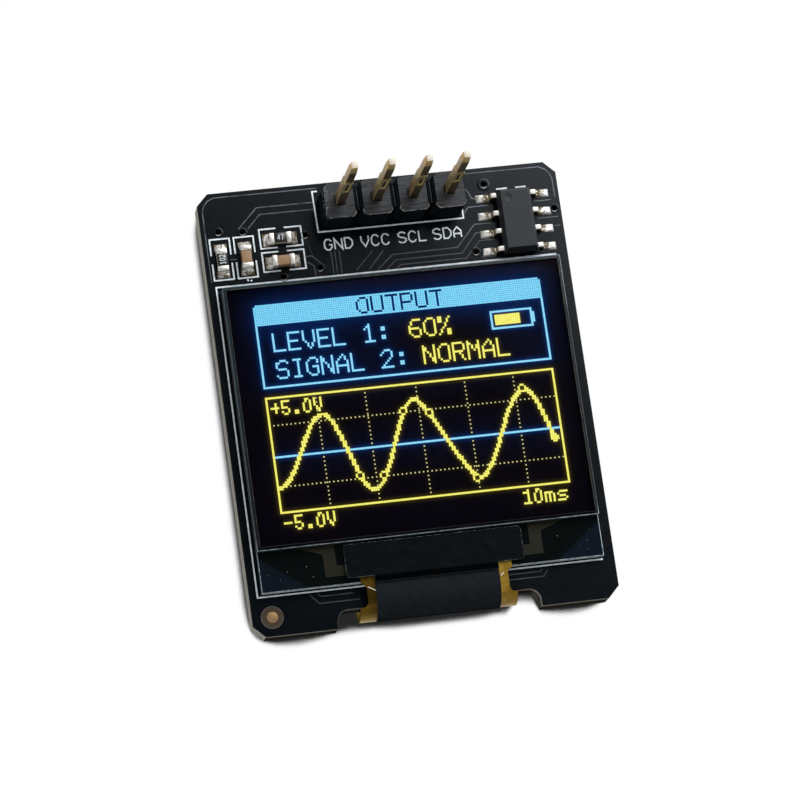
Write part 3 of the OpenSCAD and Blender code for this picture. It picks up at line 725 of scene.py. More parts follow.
# Solder at the chip's leads
# Reflowed paste, which has run up over each foot and out to the end of its pad.
# Each joint is a low lump that slopes from the lead down to the pad's end.
def joint(name, low, high, slope, crest, lumps, seed):
    """A lump of solder on a pad between two corners; slope runs up from its outer end to the piece."""
    piece = added(name, bpy.ops.mesh.primitive_grid_add, x_subdivisions=20, y_subdivisions=20, size=2)
    centre = (low + high) / 2
    half = (high - low) / 2
    for vertex in piece.data.vertices:
        u, v = vertex.co.x, vertex.co.y
        along = (u * slope[0] + v * slope[1] + 1) / 2
        rise = crest[0] + (crest[1] - crest[0]) * along ** 1.2
        round_off = ((1 - u ** 4) * (1 - v ** 4)) ** 0.5
        spot = Vector((u * 1.3 + seed, v * 1.3, seed * 0.7))
        rise *= round_off * (1 + lumps * noise.noise(spot * 1.2) + 0.5 * lumps * noise.noise(spot * 2.7))
        pull = 1 - 0.04 * (1 + noise.noise(spot * 0.9)) * max(abs(u), abs(v)) ** 8
        vertex.co = (centre.x + half.x * u * pull, centre.y + half.y * v * pull, board_top + rise)
    bpy.ops.object.mode_set(mode="EDIT")
    bpy.ops.mesh.select_all(action="SELECT")
    bpy.ops.mesh.region_to_loop()
    bpy.ops.mesh.edge_face_add()
    close_piece()
    bpy.ops.object.shade_smooth()
    return piece


def joined(name, pieces):
    """One piece from many."""
    pick(pieces[0])
    for piece in pieces:
        piece.select_set(True)
    bpy.ops.object.join()
    pieces[0].name = name
    return pieces[0]


pad_low, pad_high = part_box("ic_solder")
lead_pitch = 1.27 * mm
foot_w = 0.58 * mm
foot_l = 0.98 * mm
foot_crest = (0.2 * mm, 0.26 * mm)
feet = []
for side_sign, outer in ((1, pad_low.x), (-1, pad_high.x)):
    inner = outer + side_sign * foot_l
    for row in range(4):
        y = middle("ic_leads").y + (row - 1.5) * lead_pitch
        low = Vector((min(outer, inner), y - foot_w / 2, 0))
        high = Vector((max(outer, inner), y + foot_w / 2, 0))
        seed = 3 * row + side_sign
        feet.append(joint("foot", low, high, (side_sign, 0), foot_crest, lumps=0.22, seed=seed))
lead_joints = joined("lead_joints", feet)
lead_solder, shader, place = new_finish("lead_solder")
outward = abs(place.axis(0) - middle("ic_leads").x / mm).rise(1.85, 2.4)
paint_solder(shader, place, place.grain(4.5, 5, 0.7) + 0.15 - 0.3 * outward)
dress(lead_joints, "solder", lead_solder)
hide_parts("ic_solder")


# Chip resistors
# White ceramic chips with a glassy black overcoat and a printed value on top.
# Each end is dipped in silver and tinned.
ceramic = mottled("resistor_ceramic", 6, (0.3, 0.27, 0.2), (0.5, 0.46, 0.37), (0.6, 0.2, 10))
coat("resistor_1", ceramic)
coat("resistor_2", ceramic)
glaze, shader, place = new_finish("resistor_overcoat")
paint(shader, {
    "Base Color": place.grain(4).mix((0.006, 0.006, 0.007), (0.016, 0.016, 0.018)),
    "Roughness": 0.25 + 0.15 * place.grain(8),
    "Normal": place.grain(5).relief(0.3),
})
softened("resistor_overcoats", "resistor_glaze", 0.02 * mm, "resistor_overcoat", glaze)
tin, shader, place = new_finish("tin_plate")
wear = place.grain(5, 4)
paint(shader, {
    "Base Color": wear.mix((0.62, 0.6, 0.55), (0.92, 0.91, 0.88)),
    "Metallic": 0.85,
    "Roughness": 0.3 + 0.2 * wear,
    "Normal": place.grain(8, 2).relief(0.25),
})
softened("resistor_ends", "resistor_terminals", 0.04 * mm, "lead_tin", tin)

code_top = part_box("resistor_glaze")[1].z
code_h = 0.36 * mm
code_w = 0.16 * mm
code_step = 0.24 * mm
code_stroke_w = 0.042 * mm
code_ink_t = 0.006 * mm
code_runs = []
for node, digits, upright in (("resistor_1", "102", True), ("resistor_2", "47", False)):
    at = middle(node)
    for index, digit in enumerate(digits):
        shift = (index - (len(digits) - 1) / 2) * code_step
        for stroke in LETTERS[digit]:
            run = []
            for x, y in stroke:
                across, up = shift + (x - 0.5) * code_w, (y - 0.5) * code_h
                turned_place = (at.x - up, at.y + across) if upright else (at.x + across, at.y + up)
                run.append((*turned_place, code_top))
            code_runs.append(run)
code_ink = drawn("resistor_codes", code_runs, code_stroke_w, code_ink_t)
dress(code_ink, "resistor_overcoat", ink)


# Chip capacitors
# Stacked layers of tan ceramic fired into one block, with tinned ends like the resistors'.
# The sides are slightly darker along the layers.
tan, shader, place = new_finish("capacitor_ceramic")
layers = place.stretched(1, 1, 14).grain(2.2, 3)
paint(shader, {
    "Base Color": layers.mix((0.22, 0.125, 0.06), (0.385, 0.238, 0.124)),
    "Roughness": 0.42 + 0.15 * place.grain(7),
    "Normal": place.grain(9).relief(0.25),
})
softened("capacitor_block_1", "capacitor_1", 0.03 * mm, "capacitor_ceramic", tan)
softened("capacitor_block_2", "capacitor_2", 0.03 * mm, "capacitor_ceramic", tan)
softened("capacitor_ends", "capacitor_terminals", 0.05 * mm, "lead_tin", tin)


# Solder at the chips' ends
# Reflowed paste that has drawn up the end of each chip and wet the whole pad.
# The lumps are uneven, bright on top and brown with flux low down.
chip_half = 0.775 * mm
chip_reach = 0.44 * mm
chip_pad_half = 0.47 * mm
chip_overlap = 0.05 * mm
outer_crest = 0.16 * mm
resistor_crest = 0.38 * mm
capacitor_crest = 0.5 * mm
lengthwise, sideways = Vector((0, 1, 0)), Vector((1, 0, 0))
chip_ends = [
    ("resistor_1", lengthwise, sideways, resistor_crest),
    ("resistor_2", sideways, lengthwise, resistor_crest),
    ("capacitor_1", lengthwise, sideways, capacitor_crest),
    ("capacitor_2", sideways, lengthwise, capacitor_crest),
]
ends = []
for number, (node, along, across, inner_crest) in enumerate(chip_ends):
    at = middle(node)
    for sign in (-1, 1):
        first, last = sorted((sign * (chip_half - chip_overlap), sign * (chip_half + chip_reach)))
        low = at + first * along - chip_pad_half * across
        high = at + last * along + chip_pad_half * across
        crest = (outer_crest, inner_crest)
        seed = 7 + 5 * number + sign
        ends.append(joint("end", low, high, -sign * along, crest, lumps=0.4, seed=seed))
end_joints = joined("chip_joints", ends)
dress(end_joints, "solder", tin_solder)
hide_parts("chip_solder")


# Panel tape
# White double-sided tape, which sticks the panel down to the board.
# It is cut a little smaller than the panel and shows only at the edges.
panel_tape = mottled("panel_tape", 5, (0.5, 0.49, 0.46), (0.7, 0.69, 0.66), (0.8, 0.1, 9))
coat("panel_adhesive", panel_tape)


# Rear glass
# The panel's lower glass, scribed and snapped from a sheet, so that its edges are pale and rough.
# It is blackened behind, and its bare ledge at the lower end has a painted sheen at the corners.
# Its cut sides are painted bright where they face the front, for light, and dull elsewhere.
glass_low, glass_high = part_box("rear_glass")
backed, shader, place = new_finish("blackened_glass")
normal = place.normal()
facing = abs(normal.axis(2)).rise(0.5, 0.8)
# The corners of the ledge get a painted bluish sheen.
corner_reach = 2.6
from_side = glass_high.x / mm - abs(place.axis(0))
from_foot = place.axis(1) - glass_low.y / mm
corner_sheen = 1 - (from_side * 0.75 + from_foot).rise(corner_reach - 0.35, corner_reach)
black = place.grain(0.5).mix((0.0016, 0.0028, 0.0028), (0.003, 0.005, 0.005))
corners = place.grain(0.8).mix((0.0035, 0.006, 0.0105), (0.0075, 0.0115, 0.019))
# The cut sides that face the front are painted bright, for the light they catch.
dull_cut = place.grain(6, 4).mix((0.008, 0.012, 0.014), (0.03, 0.04, 0.046))
bright_cut = place.grain(6, 4).mix((0.25, 0.3, 0.32), (0.65, 0.71, 0.75))
snapped = (0 - normal.axis(1)).rise(0.4, 0.8).mix(dull_cut, bright_cut)
paint(shader, {
    "Base Color": facing.mix(snapped, corner_sheen.mix(black, corners)),
    "Roughness": 0.06 * facing + 0.5 * (1 - facing),
    "Specular IOR Level": 0.25,
})
arris, shader, place = new_finish("glass_arris")
chips = place.grain(4.5, 5, 0.7).rise(0.28, 0.7)
lower_side = 1 - (place.axis(1) - glass_low.y / mm).rise(2.65, 3.65)
lit_side = place.axis(0).rise(-6, 11) * place.axis(1).rise(3, 7)
lower_right = place.axis(0).rise(8, 11)
glare = 0.14 + lower_side * (0.75 + 0.6 * lower_right) + 0.7 * lit_side
shine = chips.most(0.55 * lit_side) * glare
paint(shader, {
    "Base Color": shine.mix((0.015, 0.022, 0.028), (0.5, 0.62, 0.68)),
    "Roughness": 0.4 + 0.2 * place.grain(9),
})
softened("rear_pane", "rear_glass", 0.05 * mm, "panel_glass", backed, arris)


# Edge seal
# A thin bead of black resin all round, between the two glasses.
# It is printed on one glass and cured when the other is laid on it.
seal = mottled("seal_resin", 3, (0.0012, 0.0012, 0.0014), (0.0022, 0.0022, 0.0024), (0.5, 0.1, 6),
               {"Specular IOR Level": 0.1})
coat("edge_seal", seal)


# Light-emitting layer
# Thin organic films between the glasses, near black where no current flows. Lit dots make a
# generic readout: a title bar, two lines of words, a battery sign and a wave on dotted axes.
dot = 0.147
dot_columns = 136
dot_rows = 107
dot_left = -9.8
dot_top = 7.15
BLUE, CYAN, YELLOW, PALE = 0, 1, 2, 3
lit = {}


def fill(columns, rows, colour):
    """Lights a block of dots, from the first to the last column and row."""
    for column in range(columns[0], columns[1] + 1):
        for row in range(rows[0], rows[1] + 1):
            lit[column, row] = colour


def frame_lines(columns, rows, colour):
    """Lights the four sides of a block of dots."""
    for row in rows:
        fill(columns, (row, row), colour)
    for column in columns:
        fill((column, column), rows, colour)


def letter_dots(text, column, row, size):
    """The dots of a line of text whose first letter's upper left dot is given."""
    width, height, step = size
    dots = set()
    for index, letter in enumerate(text):
        for stroke in LETTERS[letter]:
            spots = [(int(x * (width - 1) + 0.5), int((1 - y) * (height - 1) + 0.5)) for x, y in stroke]
            for (x0, y0), (x1, y1) in zip(spots, spots[1:]):
                count = max(1, abs(x1 - x0), abs(y1 - y0))
                for part in range(count + 1):
                    x, y = x0 + (x1 - x0) * part / count, y0 + (y1 - y0) * part / count
                    dots.add((column + index * step + int(x + 0.5), row + int(y + 0.5)))
    return dots


def write(text, column, row, size, colour):
    """Lights a line of text."""
    for spot in letter_dots(text, column, row, size):
        lit[spot] = colour


# Each size of letter is its width, its height and the step to the next, in dots
title_size = (6, 8, 7)
word_size = (6, 9, 7)
mark_size = (4, 7, 5)
unit_size = (5, 7, 6)
last_column = dot_columns - 1
bar_rows = (0, 9)
frame_rows = (9, 39)
plot_rows = (44, 98)
frame_lines((0, last_column), frame_rows, CYAN)
fill((0, last_column), bar_rows, BLUE)
for spot in letter_dots("OUTPUT", 48, 1, title_size) | {(0, 0), (last_column, 0)}:
    del lit[spot]
write("LEVEL 1:", 7, 14, word_size, CYAN)
write("SIGNAL 2:", 7, 27, word_size, CYAN)
write("60%", 71, 14, word_size, YELLOW)
write("NORMAL", 76, 27, word_size, YELLOW)
frame_lines((110, 129), (14, 22), CYAN)
fill((130, 130), (16, 20), CYAN)
fill((112, 123), (16, 20), YELLOW)

upright_axes = (0.17, 0.343, 0.516, 0.69, 0.86)
level_axes = (0.233, 0.773)
zero_row = 72
for share in upright_axes:
    for row in range(plot_rows[0], plot_rows[1], 2):
        lit[round(share * last_column), row] = PALE
for share in level_axes:
    for column in range(0, last_column, 2):
        lit[column, round(plot_rows[0] + share * (plot_rows[1] - plot_rows[0]))] = PALE
fill((0, last_column), (zero_row, zero_row), CYAN)
frame_lines((0, last_column), plot_rows, YELLOW)

# The wave turns at these columns and rows and runs between them as half waves. The third value is the
# share of a straight line in the stretch that follows
turns = [(1, 86.4, 0), (25, 54, 0), (44.4, 91.8, 0), (68.8, 51, 0.6), (93.3, 91.6, 0), (120.4, 52.3, 0),
         (142, 100, 0)]
wave_end = 131.3
wave_half_width = 0.92
end_dot_r = 1.8
markers = (38.8, 50.5, 62.9, 74.7, 93.3, 120.4)


def wave_row(column):
    """The row of the wave's middle at a column."""
    for (c0, r0, straight), (c1, r1, _) in zip(turns, turns[1:]):
        if c0 <= column <= c1:
            line = (column - c0) / (c1 - c0)
            half_wave = (1 - math.cos(math.pi * line)) / 2
            return r0 + (r1 - r0) * (straight * line + (1 - straight) * half_wave)


def disc(column, row, reach):
    """The dots whose centres lie within a distance of a place."""
    near = range(-4, 5)
    spots = [(round(column) + x, round(row) + y) for x in near for y in near]
    return [spot for spot in spots if math.hypot(spot[0] - column, spot[1] - row) <= reach]


steps_a_dot = 8
for step in range(steps_a_dot, int(wave_end * steps_a_dot)):
    column = step / steps_a_dot
    for spot in disc(column, wave_row(column), wave_half_width):
        lit[spot] = YELLOW
ring = {(x, y) for x in range(4) for y in range(4)} - {(0, 0), (0, 3), (3, 0), (3, 3)}
hollow = {(1, 1), (1, 2), (2, 1), (2, 2)}
for column in markers:
    left, top = round(column - 2), round(wave_row(column) - 2)
    for x, y in ring:
        lit[left + x, top + y] = YELLOW
    for x, y in hollow:
        lit.pop((left + x, top + y), None)
for spot in disc(wave_end, wave_row(wave_end), end_dot_r):
    lit[spot] = YELLOW
write("+5.0V", 2, 46, mark_size, YELLOW)
write("-5.0V", 1, 100, mark_size, YELLOW)
write("10", 113, 100, mark_size, YELLOW)
write("ms", 123, 100, unit_size, YELLOW)

film_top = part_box("emitter_layer")[1].z
film_lift = 0.001 * mm
tile_lift = 0.003 * mm
tile_t = 0.004 * mm
border = 12
grid_columns = dot_columns + 2 * border
grid_rows = dot_rows + 2 * border


def dot_grid(name, low):
    """A flat grid with a face for each dot and for a border of dark ones."""
    piece = added(name, bpy.ops.mesh.primitive_grid_add, x_subdivisions=grid_columns,
                  y_subdivisions=grid_rows, size=1)
    centre = Vector((dot_left + dot_columns * dot / 2, dot_top - dot_rows * dot / 2, low / mm))
    bpy.ops.transform.resize(value=(grid_columns * dot * mm, grid_rows * dot * mm, 1))
    bpy.ops.transform.translate(value=centre * mm)
    bpy.ops.object.transform_apply(location=True, rotation=True, scale=True)
    return piece


def dot_at(point):
    """The column and row, with fractions, of a place on the screen."""
    return (point.x / mm - dot_left) / dot, (dot_top - point.y / mm) / dot


def glowing(name, dim, bright):
    """A finish that gives light, with a slight difference from dot to dot."""
    material, shader, place = new_finish(name)
    cell = place.node("VectorMath", {"operation": "SNAP"}, {0: place, 1: (dot, dot, 1)})
    uneven = place.node("TexWhiteNoise", {}, {"Vector": cell})
    paint(shader, {
        "Base Color": uneven.mix((0.002, 0.002, 0.003), (0.004, 0.004, 0.006)),
        "Roughness": 0.5,
        "Emission Color": uneven.mix(dim, bright),
        "Emission Strength": 1,
    })
    return material


def keep_faces(piece, wanted):
    """Deletes the faces that a test turns down, and leaves the piece open."""
    bpy.ops.object.mode_set(mode="EDIT")
    bpy.ops.mesh.select_mode(type="FACE")
    bpy.ops.object.mode_set(mode="OBJECT")
    for face in piece.data.polygons:
        face.select = not wanted(face)
    bpy.ops.object.mode_set(mode="EDIT")
    bpy.ops.mesh.delete(type="FACE")


def colour_of(face):
    """The colour that a face's dot is lit in, or None."""
    column, row = dot_at(face.center)
    return lit.get((math.floor(column), math.floor(row)))


def dot_sheet(name, gap, *colours):
    """The dots lit in some colours, each a thin square tile with a gap round it."""
    piece = dot_grid(name, film_top + tile_lift)
    for face in piece.data.polygons:
        face.material_index = colours.index(colour_of(face)) if colour_of(face) in colours else 0
    keep_faces(piece, lambda face: colour_of(face) in colours)
    bpy.ops.mesh.select_all(action="SELECT")
    bpy.ops.mesh.inset(thickness=gap / 2, use_individual=True)
    bpy.ops.mesh.select_all(action="INVERT")
    bpy.ops.mesh.delete(type="FACE")
    bpy.ops.mesh.select_all(action="SELECT")
    bpy.ops.mesh.extrude_region_move(TRANSFORM_OT_translate={"value": (0, 0, tile_t)})
    bpy.ops.mesh.select_mode(type="VERT")
    bpy.ops.object.mode_set(mode="OBJECT")
    return piece


blue_light = glowing("blue_dots", (0.175, 0.68, 0.99), (0.205, 0.73, 1.05))
cyan_light = glowing("cyan_dots", (0.23, 0.68, 0.96), (0.28, 0.75, 1.02))
yellow_light = glowing("yellow_dots", (0.92, 0.87, 0.11), (1.0, 0.95, 0.17))
pale_light = glowing("pale_dots", (0.72, 0.66, 0.24), (0.85, 0.8, 0.34))
bar_gap = 0.015 * mm
line_gap = 0.008 * mm
axis_gap = 0.062 * mm
dress(dot_sheet("bar_dots", bar_gap, BLUE), "emitter_film", blue_light)
dress(dot_sheet("lit_dots", line_gap, CYAN, YELLOW), "emitter_film", cyan_light, yellow_light)
dress(dot_sheet("axis_dots", axis_gap, PALE), "emitter_film", pale_light)

# Light from each dot, in the order of the colours, spreads in the films close by and faintly further off
near_light = numpy.array([(0, 0.06, 0.34), (0, 0.16, 0.8), (0.3, 0.22, 0), (0.06, 0.05, 0)])
far_light = numpy.array([(0, 0.16, 0.9), (0, 0.16, 0.9), (0.05, 0.04, 0.02), (0, 0, 0)])
near_reach = 1.3
far_reach = 4.5
offsets = numpy.arange(-border, border) + 0.5
distance = numpy.hypot(offsets[:, None], offsets[None, :])[:, :, None]
near_share = 0.06 * numpy.exp(-(distance / near_reach) ** 2)
far_share = 0.0013 * numpy.exp(-distance / far_reach)
spread = numpy.zeros((grid_columns + 1, grid_rows + 1, 3))
for (column, row), colour in lit.items():
    columns = slice(column + 1, column + 2 * border + 1)
    rows = slice(row + 1, row + 2 * border + 1)
    spread[columns, rows] += near_share * near_light[colour] + far_share * far_light[colour]
sheet = dot_grid("screen_film", film_top + film_lift)
face_low, face_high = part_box("polarizer")
half_dot = dot / 2 * mm
keep_faces(sheet, lambda face: (face_low.x - half_dot < face.center.x < face_high.x + half_dot
                                and face_low.y - half_dot < face.center.y < face_high.y + half_dot))
bpy.ops.mesh.select_mode(type="VERT")
bpy.ops.object.mode_set(mode="OBJECT")
shades = sheet.data.color_attributes.new("glow", "FLOAT_COLOR", "POINT")
for vertex, shade in zip(sheet.data.vertices, shades.data):
    column, row = dot_at(vertex.co)
    shade.color = (*spread[round(column) + border, round(row) + border], 1)
    vertex.co.x = min(max(vertex.co.x, face_low.x), face_high.x)
    vertex.co.y = min(max(vertex.co.y, face_low.y), face_high.y)
unlit_low, unlit_high = (0.0016, 0.0012, 0.003), (0.003, 0.0022, 0.0052)
film, shader, place = new_finish("dark_film")
film_colour = place.grain(0.4).mix(unlit_low, unlit_high)
# Above the title bar, away from its left end, the film is painted a little paler, for a glow there.
painted_bar_glow = place.axis(1).rise(7.3, 8.2) * place.axis(0).rise(-9, -3)
paint(shader, {
    "Base Color": painted_bar_glow.mix(film_colour, (0.009, 0.0062, 0.0075)),
    "Roughness": 0.16 + 0.06 * place.grain(2),
    "Specular IOR Level": 0.05,
    "Emission Color": place.node("Attribute", {"attribute_name": "glow"}),
    "Emission Strength": 1,
})
dress(sheet, "emitter_film", film)
dark = mottled("dark_cell", 0.4, unlit_low, unlit_high, (0.16, 0.06, 2), {"Specular IOR Level": 0.05})
coat("emitter_layer", dark)


# Cover glass
# Clear glass over the light-emitting layer, scribed and snapped from a sheet like the rear one.
# A narrow rim of it stays bare round the polarizer.
def clear_finish(name, tint, bend, bare_rim, side_low, side_high):
    """Clear in the face, pale at the cut sides, with a painted sheen in a bare rim that is brighter towards
    the top and the left, and a share of mirror.
    """
    material, shader, place = new_finish(name)
    tree = material.node_tree
    cut = 1 - abs(place.normal().axis(2)).rise(0.5, 0.8)
    from_side = glass_high.x / mm - abs(place.axis(0))
    from_top = glass_high.y / mm - place.axis(1)
    rim = 1 - from_side.maths("MINIMUM", from_side, from_top).rise(bare_rim - 0.02, bare_rim + 0.02)
    # The bare rim's tone is a painted sheen, brighter towards the top and the left.
    rim_sheen = place.axis(1).rise(-8, 3) * (1 - 0.8 * place.axis(0).rise(-11, 9))
    rim_sheen = rim_sheen.mix((0.006, 0.009, 0.011), (0.02, 0.045, 0.07))
    through = place.node("BsdfTransparent", {}, {"Color": tint})
    mirror = place.node("BsdfGlossy", {}, {"Color": (1, 1, 1), "Roughness": 0.05})
    share = place.node("Fresnel", {}, {"IOR": bend})
    face = place.node("MixShader", {}, {0: share, 1: through, 2: mirror})
    paint(shader, {
        "Base Color": cut.mix(rim_sheen, place.grain(5, 4).mix(side_low, side_high)),
        "Roughness": 0.45 + 0.2 * place.grain(8),
        "Specular IOR Level": 0.2,
    })
    whole = place.node("MixShader", {}, {0: cut.most(0.6 * rim), 1: face, 2: Signal(shader.outputs[0])})
    feed(tree.nodes["Material Output"].inputs["Surface"], whole)
    return material


clear = clear_finish("clear_glass", (0.985, 0.99, 0.99), 1.03, 0.2,
                     (0.008, 0.012, 0.015), (0.04, 0.052, 0.058))
softened("cover_pane", "cover_glass", 0.045 * mm, "panel_glass", clear, arris)


# Polarizer
# A thin dark film, rolled on to the face of the cover glass to stop reflections.
# It is die-cut a little smaller than the glass, and its cut edge is slightly pale.
smoked = clear_finish("polarizer_film", (0.99, 0.99, 0.99), 1.05, 0,
                      (0.012, 0.013, 0.013), (0.05, 0.05, 0.048))
film_edge, shader, place = new_finish("polarizer_edge")
from_foot = place.axis(1) - face_low.y / mm
pale = place.grain(2, 4).rise(0.3, 0.7) * from_foot.rise(0.05, 0.65)
paint(shader, {
    "Base Color": pale.mix((0.004, 0.004, 0.004), (0.1, 0.095, 0.075)),
    "Roughness": 0.35 + 0.1 * place.grain(7),
})
softened("polarizer_sheet", "polarizer", 0.03 * mm, "polarizer_film", smoked, film_edge)


# Traces and driver die
# Olive metal film, etched on the ledge of the rear glass, which leads power to the driver die.
# The die is bare polished silicon, bonded face down on the film's ends.
trace_metal = mottled("trace_metal", 1.5, (0.008, 0.008, 0.0036), (0.0135, 0.0138, 0.0068),
                      (0.45, 0.1, 6), {"Specular IOR Level": 0.15})
coat("contact_traces", trace_metal)
silicon = mottled("bare_silicon", 2, (0.03, 0.03, 0.035), (0.06, 0.06, 0.07), (0.15, 0.1, 5))
coat("driver_chip", silicon)


# Driver tape
# Satin black tape, stuck over the die and the end of the flex to keep light and knocks away.
# Its rolled face has fine slanting streaks. Its lower tab is painted near black, for shade, and its cut
# edge above the tab has pale dashes of painted highlight.
streak_turn = math.radians(48)
body_l = 2.3
tab_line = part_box("driver_tape")[1].y / mm - body_l
black_tape, shader, place = new_finish("black_tape")
streaks = place.stretched(4.5, 0.45, 1, streak_turn).grain(1.6, 3)
# Below the tab line the tape is painted near black, for shade along its lower tab.
upper = place.axis(1).rise(tab_line - 0.1, tab_line + 0.1)
rolled = streaks.rise(0.35, 0.7).mix((0.0009, 0.0016, 0.0022), (0.0034, 0.005, 0.0068))
paint(shader, {
    "Base Color": upper.mix((0.0006, 0.001, 0.0013), rolled),
    "Roughness": 0.2 + upper * (0.26 + 0.16 * streaks),
    "Specular IOR Level": 0.05,
    "Specular Tint": mask_tint,
})
tape_edge, shader, place = new_finish("tape_edge")
# Pale dashes of painted highlight along the cut edge, above the tab.
edge_highlight_dashes = place.grain(5.5, 4, 0.7).rise(0.5, 0.62) * place.axis(1).rise(tab_line - 0.15, tab_line - 0.05)
paint(shader, {
    "Base Color": edge_highlight_dashes.mix((0.002, 0.003, 0.004), (0.24, 0.26, 0.25)),
    "Roughness": 0.5 + 0.1 * place.grain(7),
})
softened("driver_tape_strip", "driver_tape", 0.025 * mm, "black_tape", black_tape, tape_edge)


# Dust
# Pale flecks of lint that lie on the bare glass of the ledge.
# Each is a small uneven lump, flatter than it is wide.
ledge_z = glass_high.z
dust_places = [(-8.53, -11.15, 0.04), (-9.85, -11.38, 0.022), (-8.15, -11.88, 0.04), (-11.17, -11.43, 0.03),
               (-11.45, -11.0, 0.022), (-10.39, -11.9, 0.026), (8.74, -10.97, 0.038), (11.0, -10.75, 0.024),
               (10.76, -11.47, 0.034), (10.75, -12.1, 0.022), (10.2, -11.8, 0.018)]
flecks = []
for x, y, r in dust_places:
    fleck = added("fleck", bpy.ops.mesh.primitive_ico_sphere_add, subdivisions=1, radius=r * mm,
                  location=(x * mm, y * mm, ledge_z))
    bpy.ops.object.mode_set(mode="EDIT")
    bpy.ops.transform.resize(value=(1, 0.7, 0.4), orient_type="GLOBAL")
    bpy.ops.transform.vertex_random(offset=0.3 * r * mm, seed=len(flecks))
    bpy.ops.object.mode_set(mode="OBJECT")
    bpy.ops.object.transform_apply(location=True, rotation=True, scale=True)
    flecks.append(fleck)
dust = joined("ledge_dust", flecks)
lint = mottled("pale_dust", 3, (0.12, 0.13, 0.14), (0.5, 0.5, 0.48), (0.9, -0.1, 5))
dress(dust, "panel_glass", lint)


# Flex film
# Amber film with copper inside, bonded to the ledge and folded through the notch. Its tail is soldered
# to the back of the board. It is painted dark where the panel shades it, and bright gold low down and to
# the right.
flex_low, flex_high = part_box("flex_film")
amber, shader, place = new_finish("amber_film")
mottle = place.grain(0.9, 3)
depth = flex_high.z / mm - place.axis(2)
from_fold = place.axis(1) - flex_low.y / mm
# Low down and towards the right the film is painted bright gold, for light through it; on the left below
# the panel it is painted dark, for shade.
low_down = depth.rise(0.45, 1.85).most(0.5 * place.axis(0).rise(1, 4))
below_panel = from_fold.rise(0.7, 1.0) * (1 - 0.4 * from_fold.rise(1.9, 2.2))
shaded = below_panel * (1 - place.axis(0).rise(-1, 1))
amber_tone = (mottle.rise(0.3, 0.7) * 0.6 + 0.3) * (1 - 0.75 * shaded)
dim = amber_tone.mix((0.012, 0.007, 0.001), (0.15, 0.09, 0.009))
lit_through = mottle.rise(0.3, 0.7).mix((0.3, 0.175, 0.016), (0.58, 0.38, 0.07))
paint(shader, {
    "Base Color": low_down.mix(dim, lit_through),
    "Roughness": 0.22 + 0.15 * mottle,
    "Specular IOR Level": 0.12,
    "Specular Tint": (1, 0.75, 0.3),
    "Normal": place.grain(3, 3).relief(0.3),
})
softened("flex_sheet", "flex_film", 0.02 * mm, "amber_film", amber)
coat("flex_solder", tin_solder)


# Coverlay
# A strip of satin black film, pressed on to the outer face of the flex with adhesive.
# It bends with the flex, and its face has the same slanting streaks as the tape.
coverlay, shader, place = new_finish("black_coverlay")
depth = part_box("flex_coverlay")[1].z / mm - place.axis(2)
streaks = place.stretched(4, 0.5, 0.5, streak_turn).grain(1.8, 4)
satin = streaks.rise(0.3, 0.75).mix((0.0115, 0.014, 0.017), (0.0165, 0.02, 0.0242))
# Low down on the fold the coverlay is painted near black, for shade.
paint(shader, {
    "Base Color": depth.rise(1.2, 2.0).mix(satin, (0.0025, 0.0033, 0.004)),
    "Roughness": 0.46 + 0.16 * streaks,
    "Specular IOR Level": 0,
    "Specular Tint": mask_tint,
})
softened("coverlay_strip", "flex_coverlay", 0.012 * mm, "black_coverlay", coverlay)


# Creases
# Short bright lines at the sides of the flex, where the film was strained over the edge of the glass.
# They are painted pale, for the highlight the creases catch.
crease_z = flex_high.z - 0.004 * mm
crease_w = 0.06 * mm
crease_h = 0.012 * mm
creases = [
    [(-4.62 * mm, -13.0 * mm, crease_z), (-4.1 * mm, -13.3 * mm, crease_z)],
    [(4.48 * mm, -13.25 * mm, crease_z), (4.72 * mm, -13.05 * mm, crease_z)],
]
glints = drawn("flex_creases", creases, crease_w, crease_h)
# The creases' pale tone is painted highlight.
painted_crease_glint = mottled("crease_highlight", 4, (0.5, 0.45, 0.35), (0.85, 0.82, 0.75), (0.3, 0.1, 6))
dress(glints, "amber_film", painted_crease_glint)


# Floor, light and camera
# The module lies on a plain white table, in soft light from all round and from a softbox above
# its top edge. The camera looks down on it from the lower left.
floor = added("table", bpy.ops.mesh.primitive_plane_add, size=4)
white = bpy.data.materials.new("white_table")
white.use_nodes = True
tree = white.node_tree
tree.nodes.remove(tree.nodes["Principled BSDF"])
# To the camera the table glows white, with a contact shade painted from the occlusion round the module.
ray = Signal(tree.nodes.new("ShaderNodeLightPath").outputs["Is Camera Ray"])
in_glass = ray.node("LightPath", output="Is Transmission Ray")
looked_at = ray.most(in_glass).most(ray.node("LightPath", output="Is Glossy Ray"))
matt = ray.node("BsdfDiffuse", {}, {"Color": (0.8, 0.8, 0.8)})
across = ray.node("TexCoord", output="Object").axis(0)
at_left = 1 - across.rise(-13 * mm, -12 * mm)
in_notch = across.rise(5 * mm, 6 * mm) * (1 - across.rise(7 * mm, 7.6 * mm))
openness = ray.node("AmbientOcclusion", {"samples": 48}, {"Distance": 3 * mm}, 1)
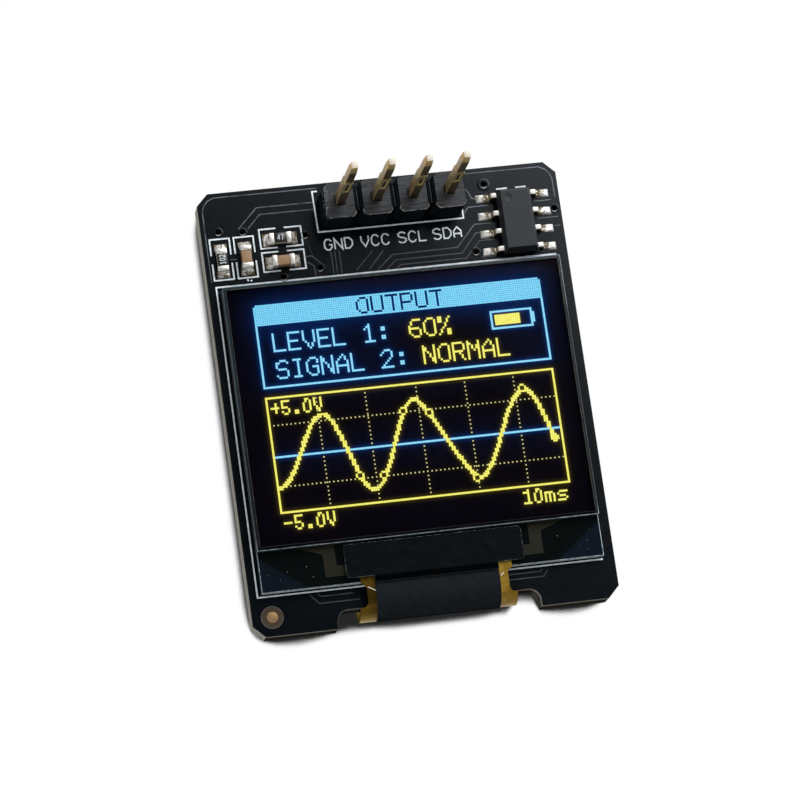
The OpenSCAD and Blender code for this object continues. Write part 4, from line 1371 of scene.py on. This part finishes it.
# The painted shade is weaker left of the board, and in a strip at the notch's place that runs the whole
# length of the table
openness = openness + 0.026 * at_left + 0.16 * in_notch
dimmest = at_left.mix((0.02, 0.02, 0.02), (0.12, 0.12, 0.12))
shade = openness.rise(0.59, 0.653).mix(dimmest, (1, 1, 1))
glowing_white = ray.node("Emission", {}, {"Color": shade})
seen = ray.node("MixShader", {}, {0: looked_at, 1: matt, 2: glowing_white})
feed(tree.nodes["Material Output"].inputs["Surface"], seen)
floor.data.materials.append(white)

world = bpy.data.worlds.new("studio")
world.use_nodes = True
bpy.context.scene.world = world
tree = world.node_tree
direction = Signal(tree.nodes.new("ShaderNodeTexCoord").outputs["Generated"])
height = direction.axis(2)
behind = direction.axis(1).rise(-0.7, 0.1)
sides = behind.mix((0.1, 0.1, 0.1), (0.75, 0.75, 0.75))
dome = height.rise(0.6, 0.88).mix(sides, (0.04, 0.04, 0.04))
feed(tree.nodes["Background"].inputs["Color"], dome)

light_aim = Vector((0, 0.004, 0.003))
# Each lamp's name, width in metres, power in watts and place
lamps = [
    ("softbox", 0.13, 0.25, (0.075, 0.095, 0.112)),
    ("fill", 0.3, 0.42, (-0.1, -0.2, 0.28)),
]
for name, size, energy, at in lamps:
    light = bpy.data.lights.new(name, "AREA")
    light.size = size
    light.energy = energy
    lamp = bpy.data.objects.new(name, light)
    lamp.location = at
    lamp.rotation_euler = (light_aim - lamp.location).to_track_quat("-Z", "Y").to_euler()
    lamp.visible_camera = False
    bpy.context.scene.collection.objects.link(lamp)

lens_mm = 180
camera_place = Vector((-44.954, -59.496, 264.893)) * mm
camera_aim = Vector((-0.524, -0.29, 2.8)) * mm
camera_roll = math.radians(29.81)
camera_data = bpy.data.cameras.new("camera")
camera_data.lens = lens_mm
camera = bpy.data.objects.new("camera", camera_data)
camera.location = camera_place
level = (camera_aim - camera_place).to_track_quat("-Z", "Y")
camera.rotation_euler = (level @ Quaternion((0, 0, 1), camera_roll)).to_euler()
bpy.context.scene.collection.objects.link(camera)
bpy.context.scene.camera = camera
bpy.context.scene.view_settings.view_transform = "Standard"
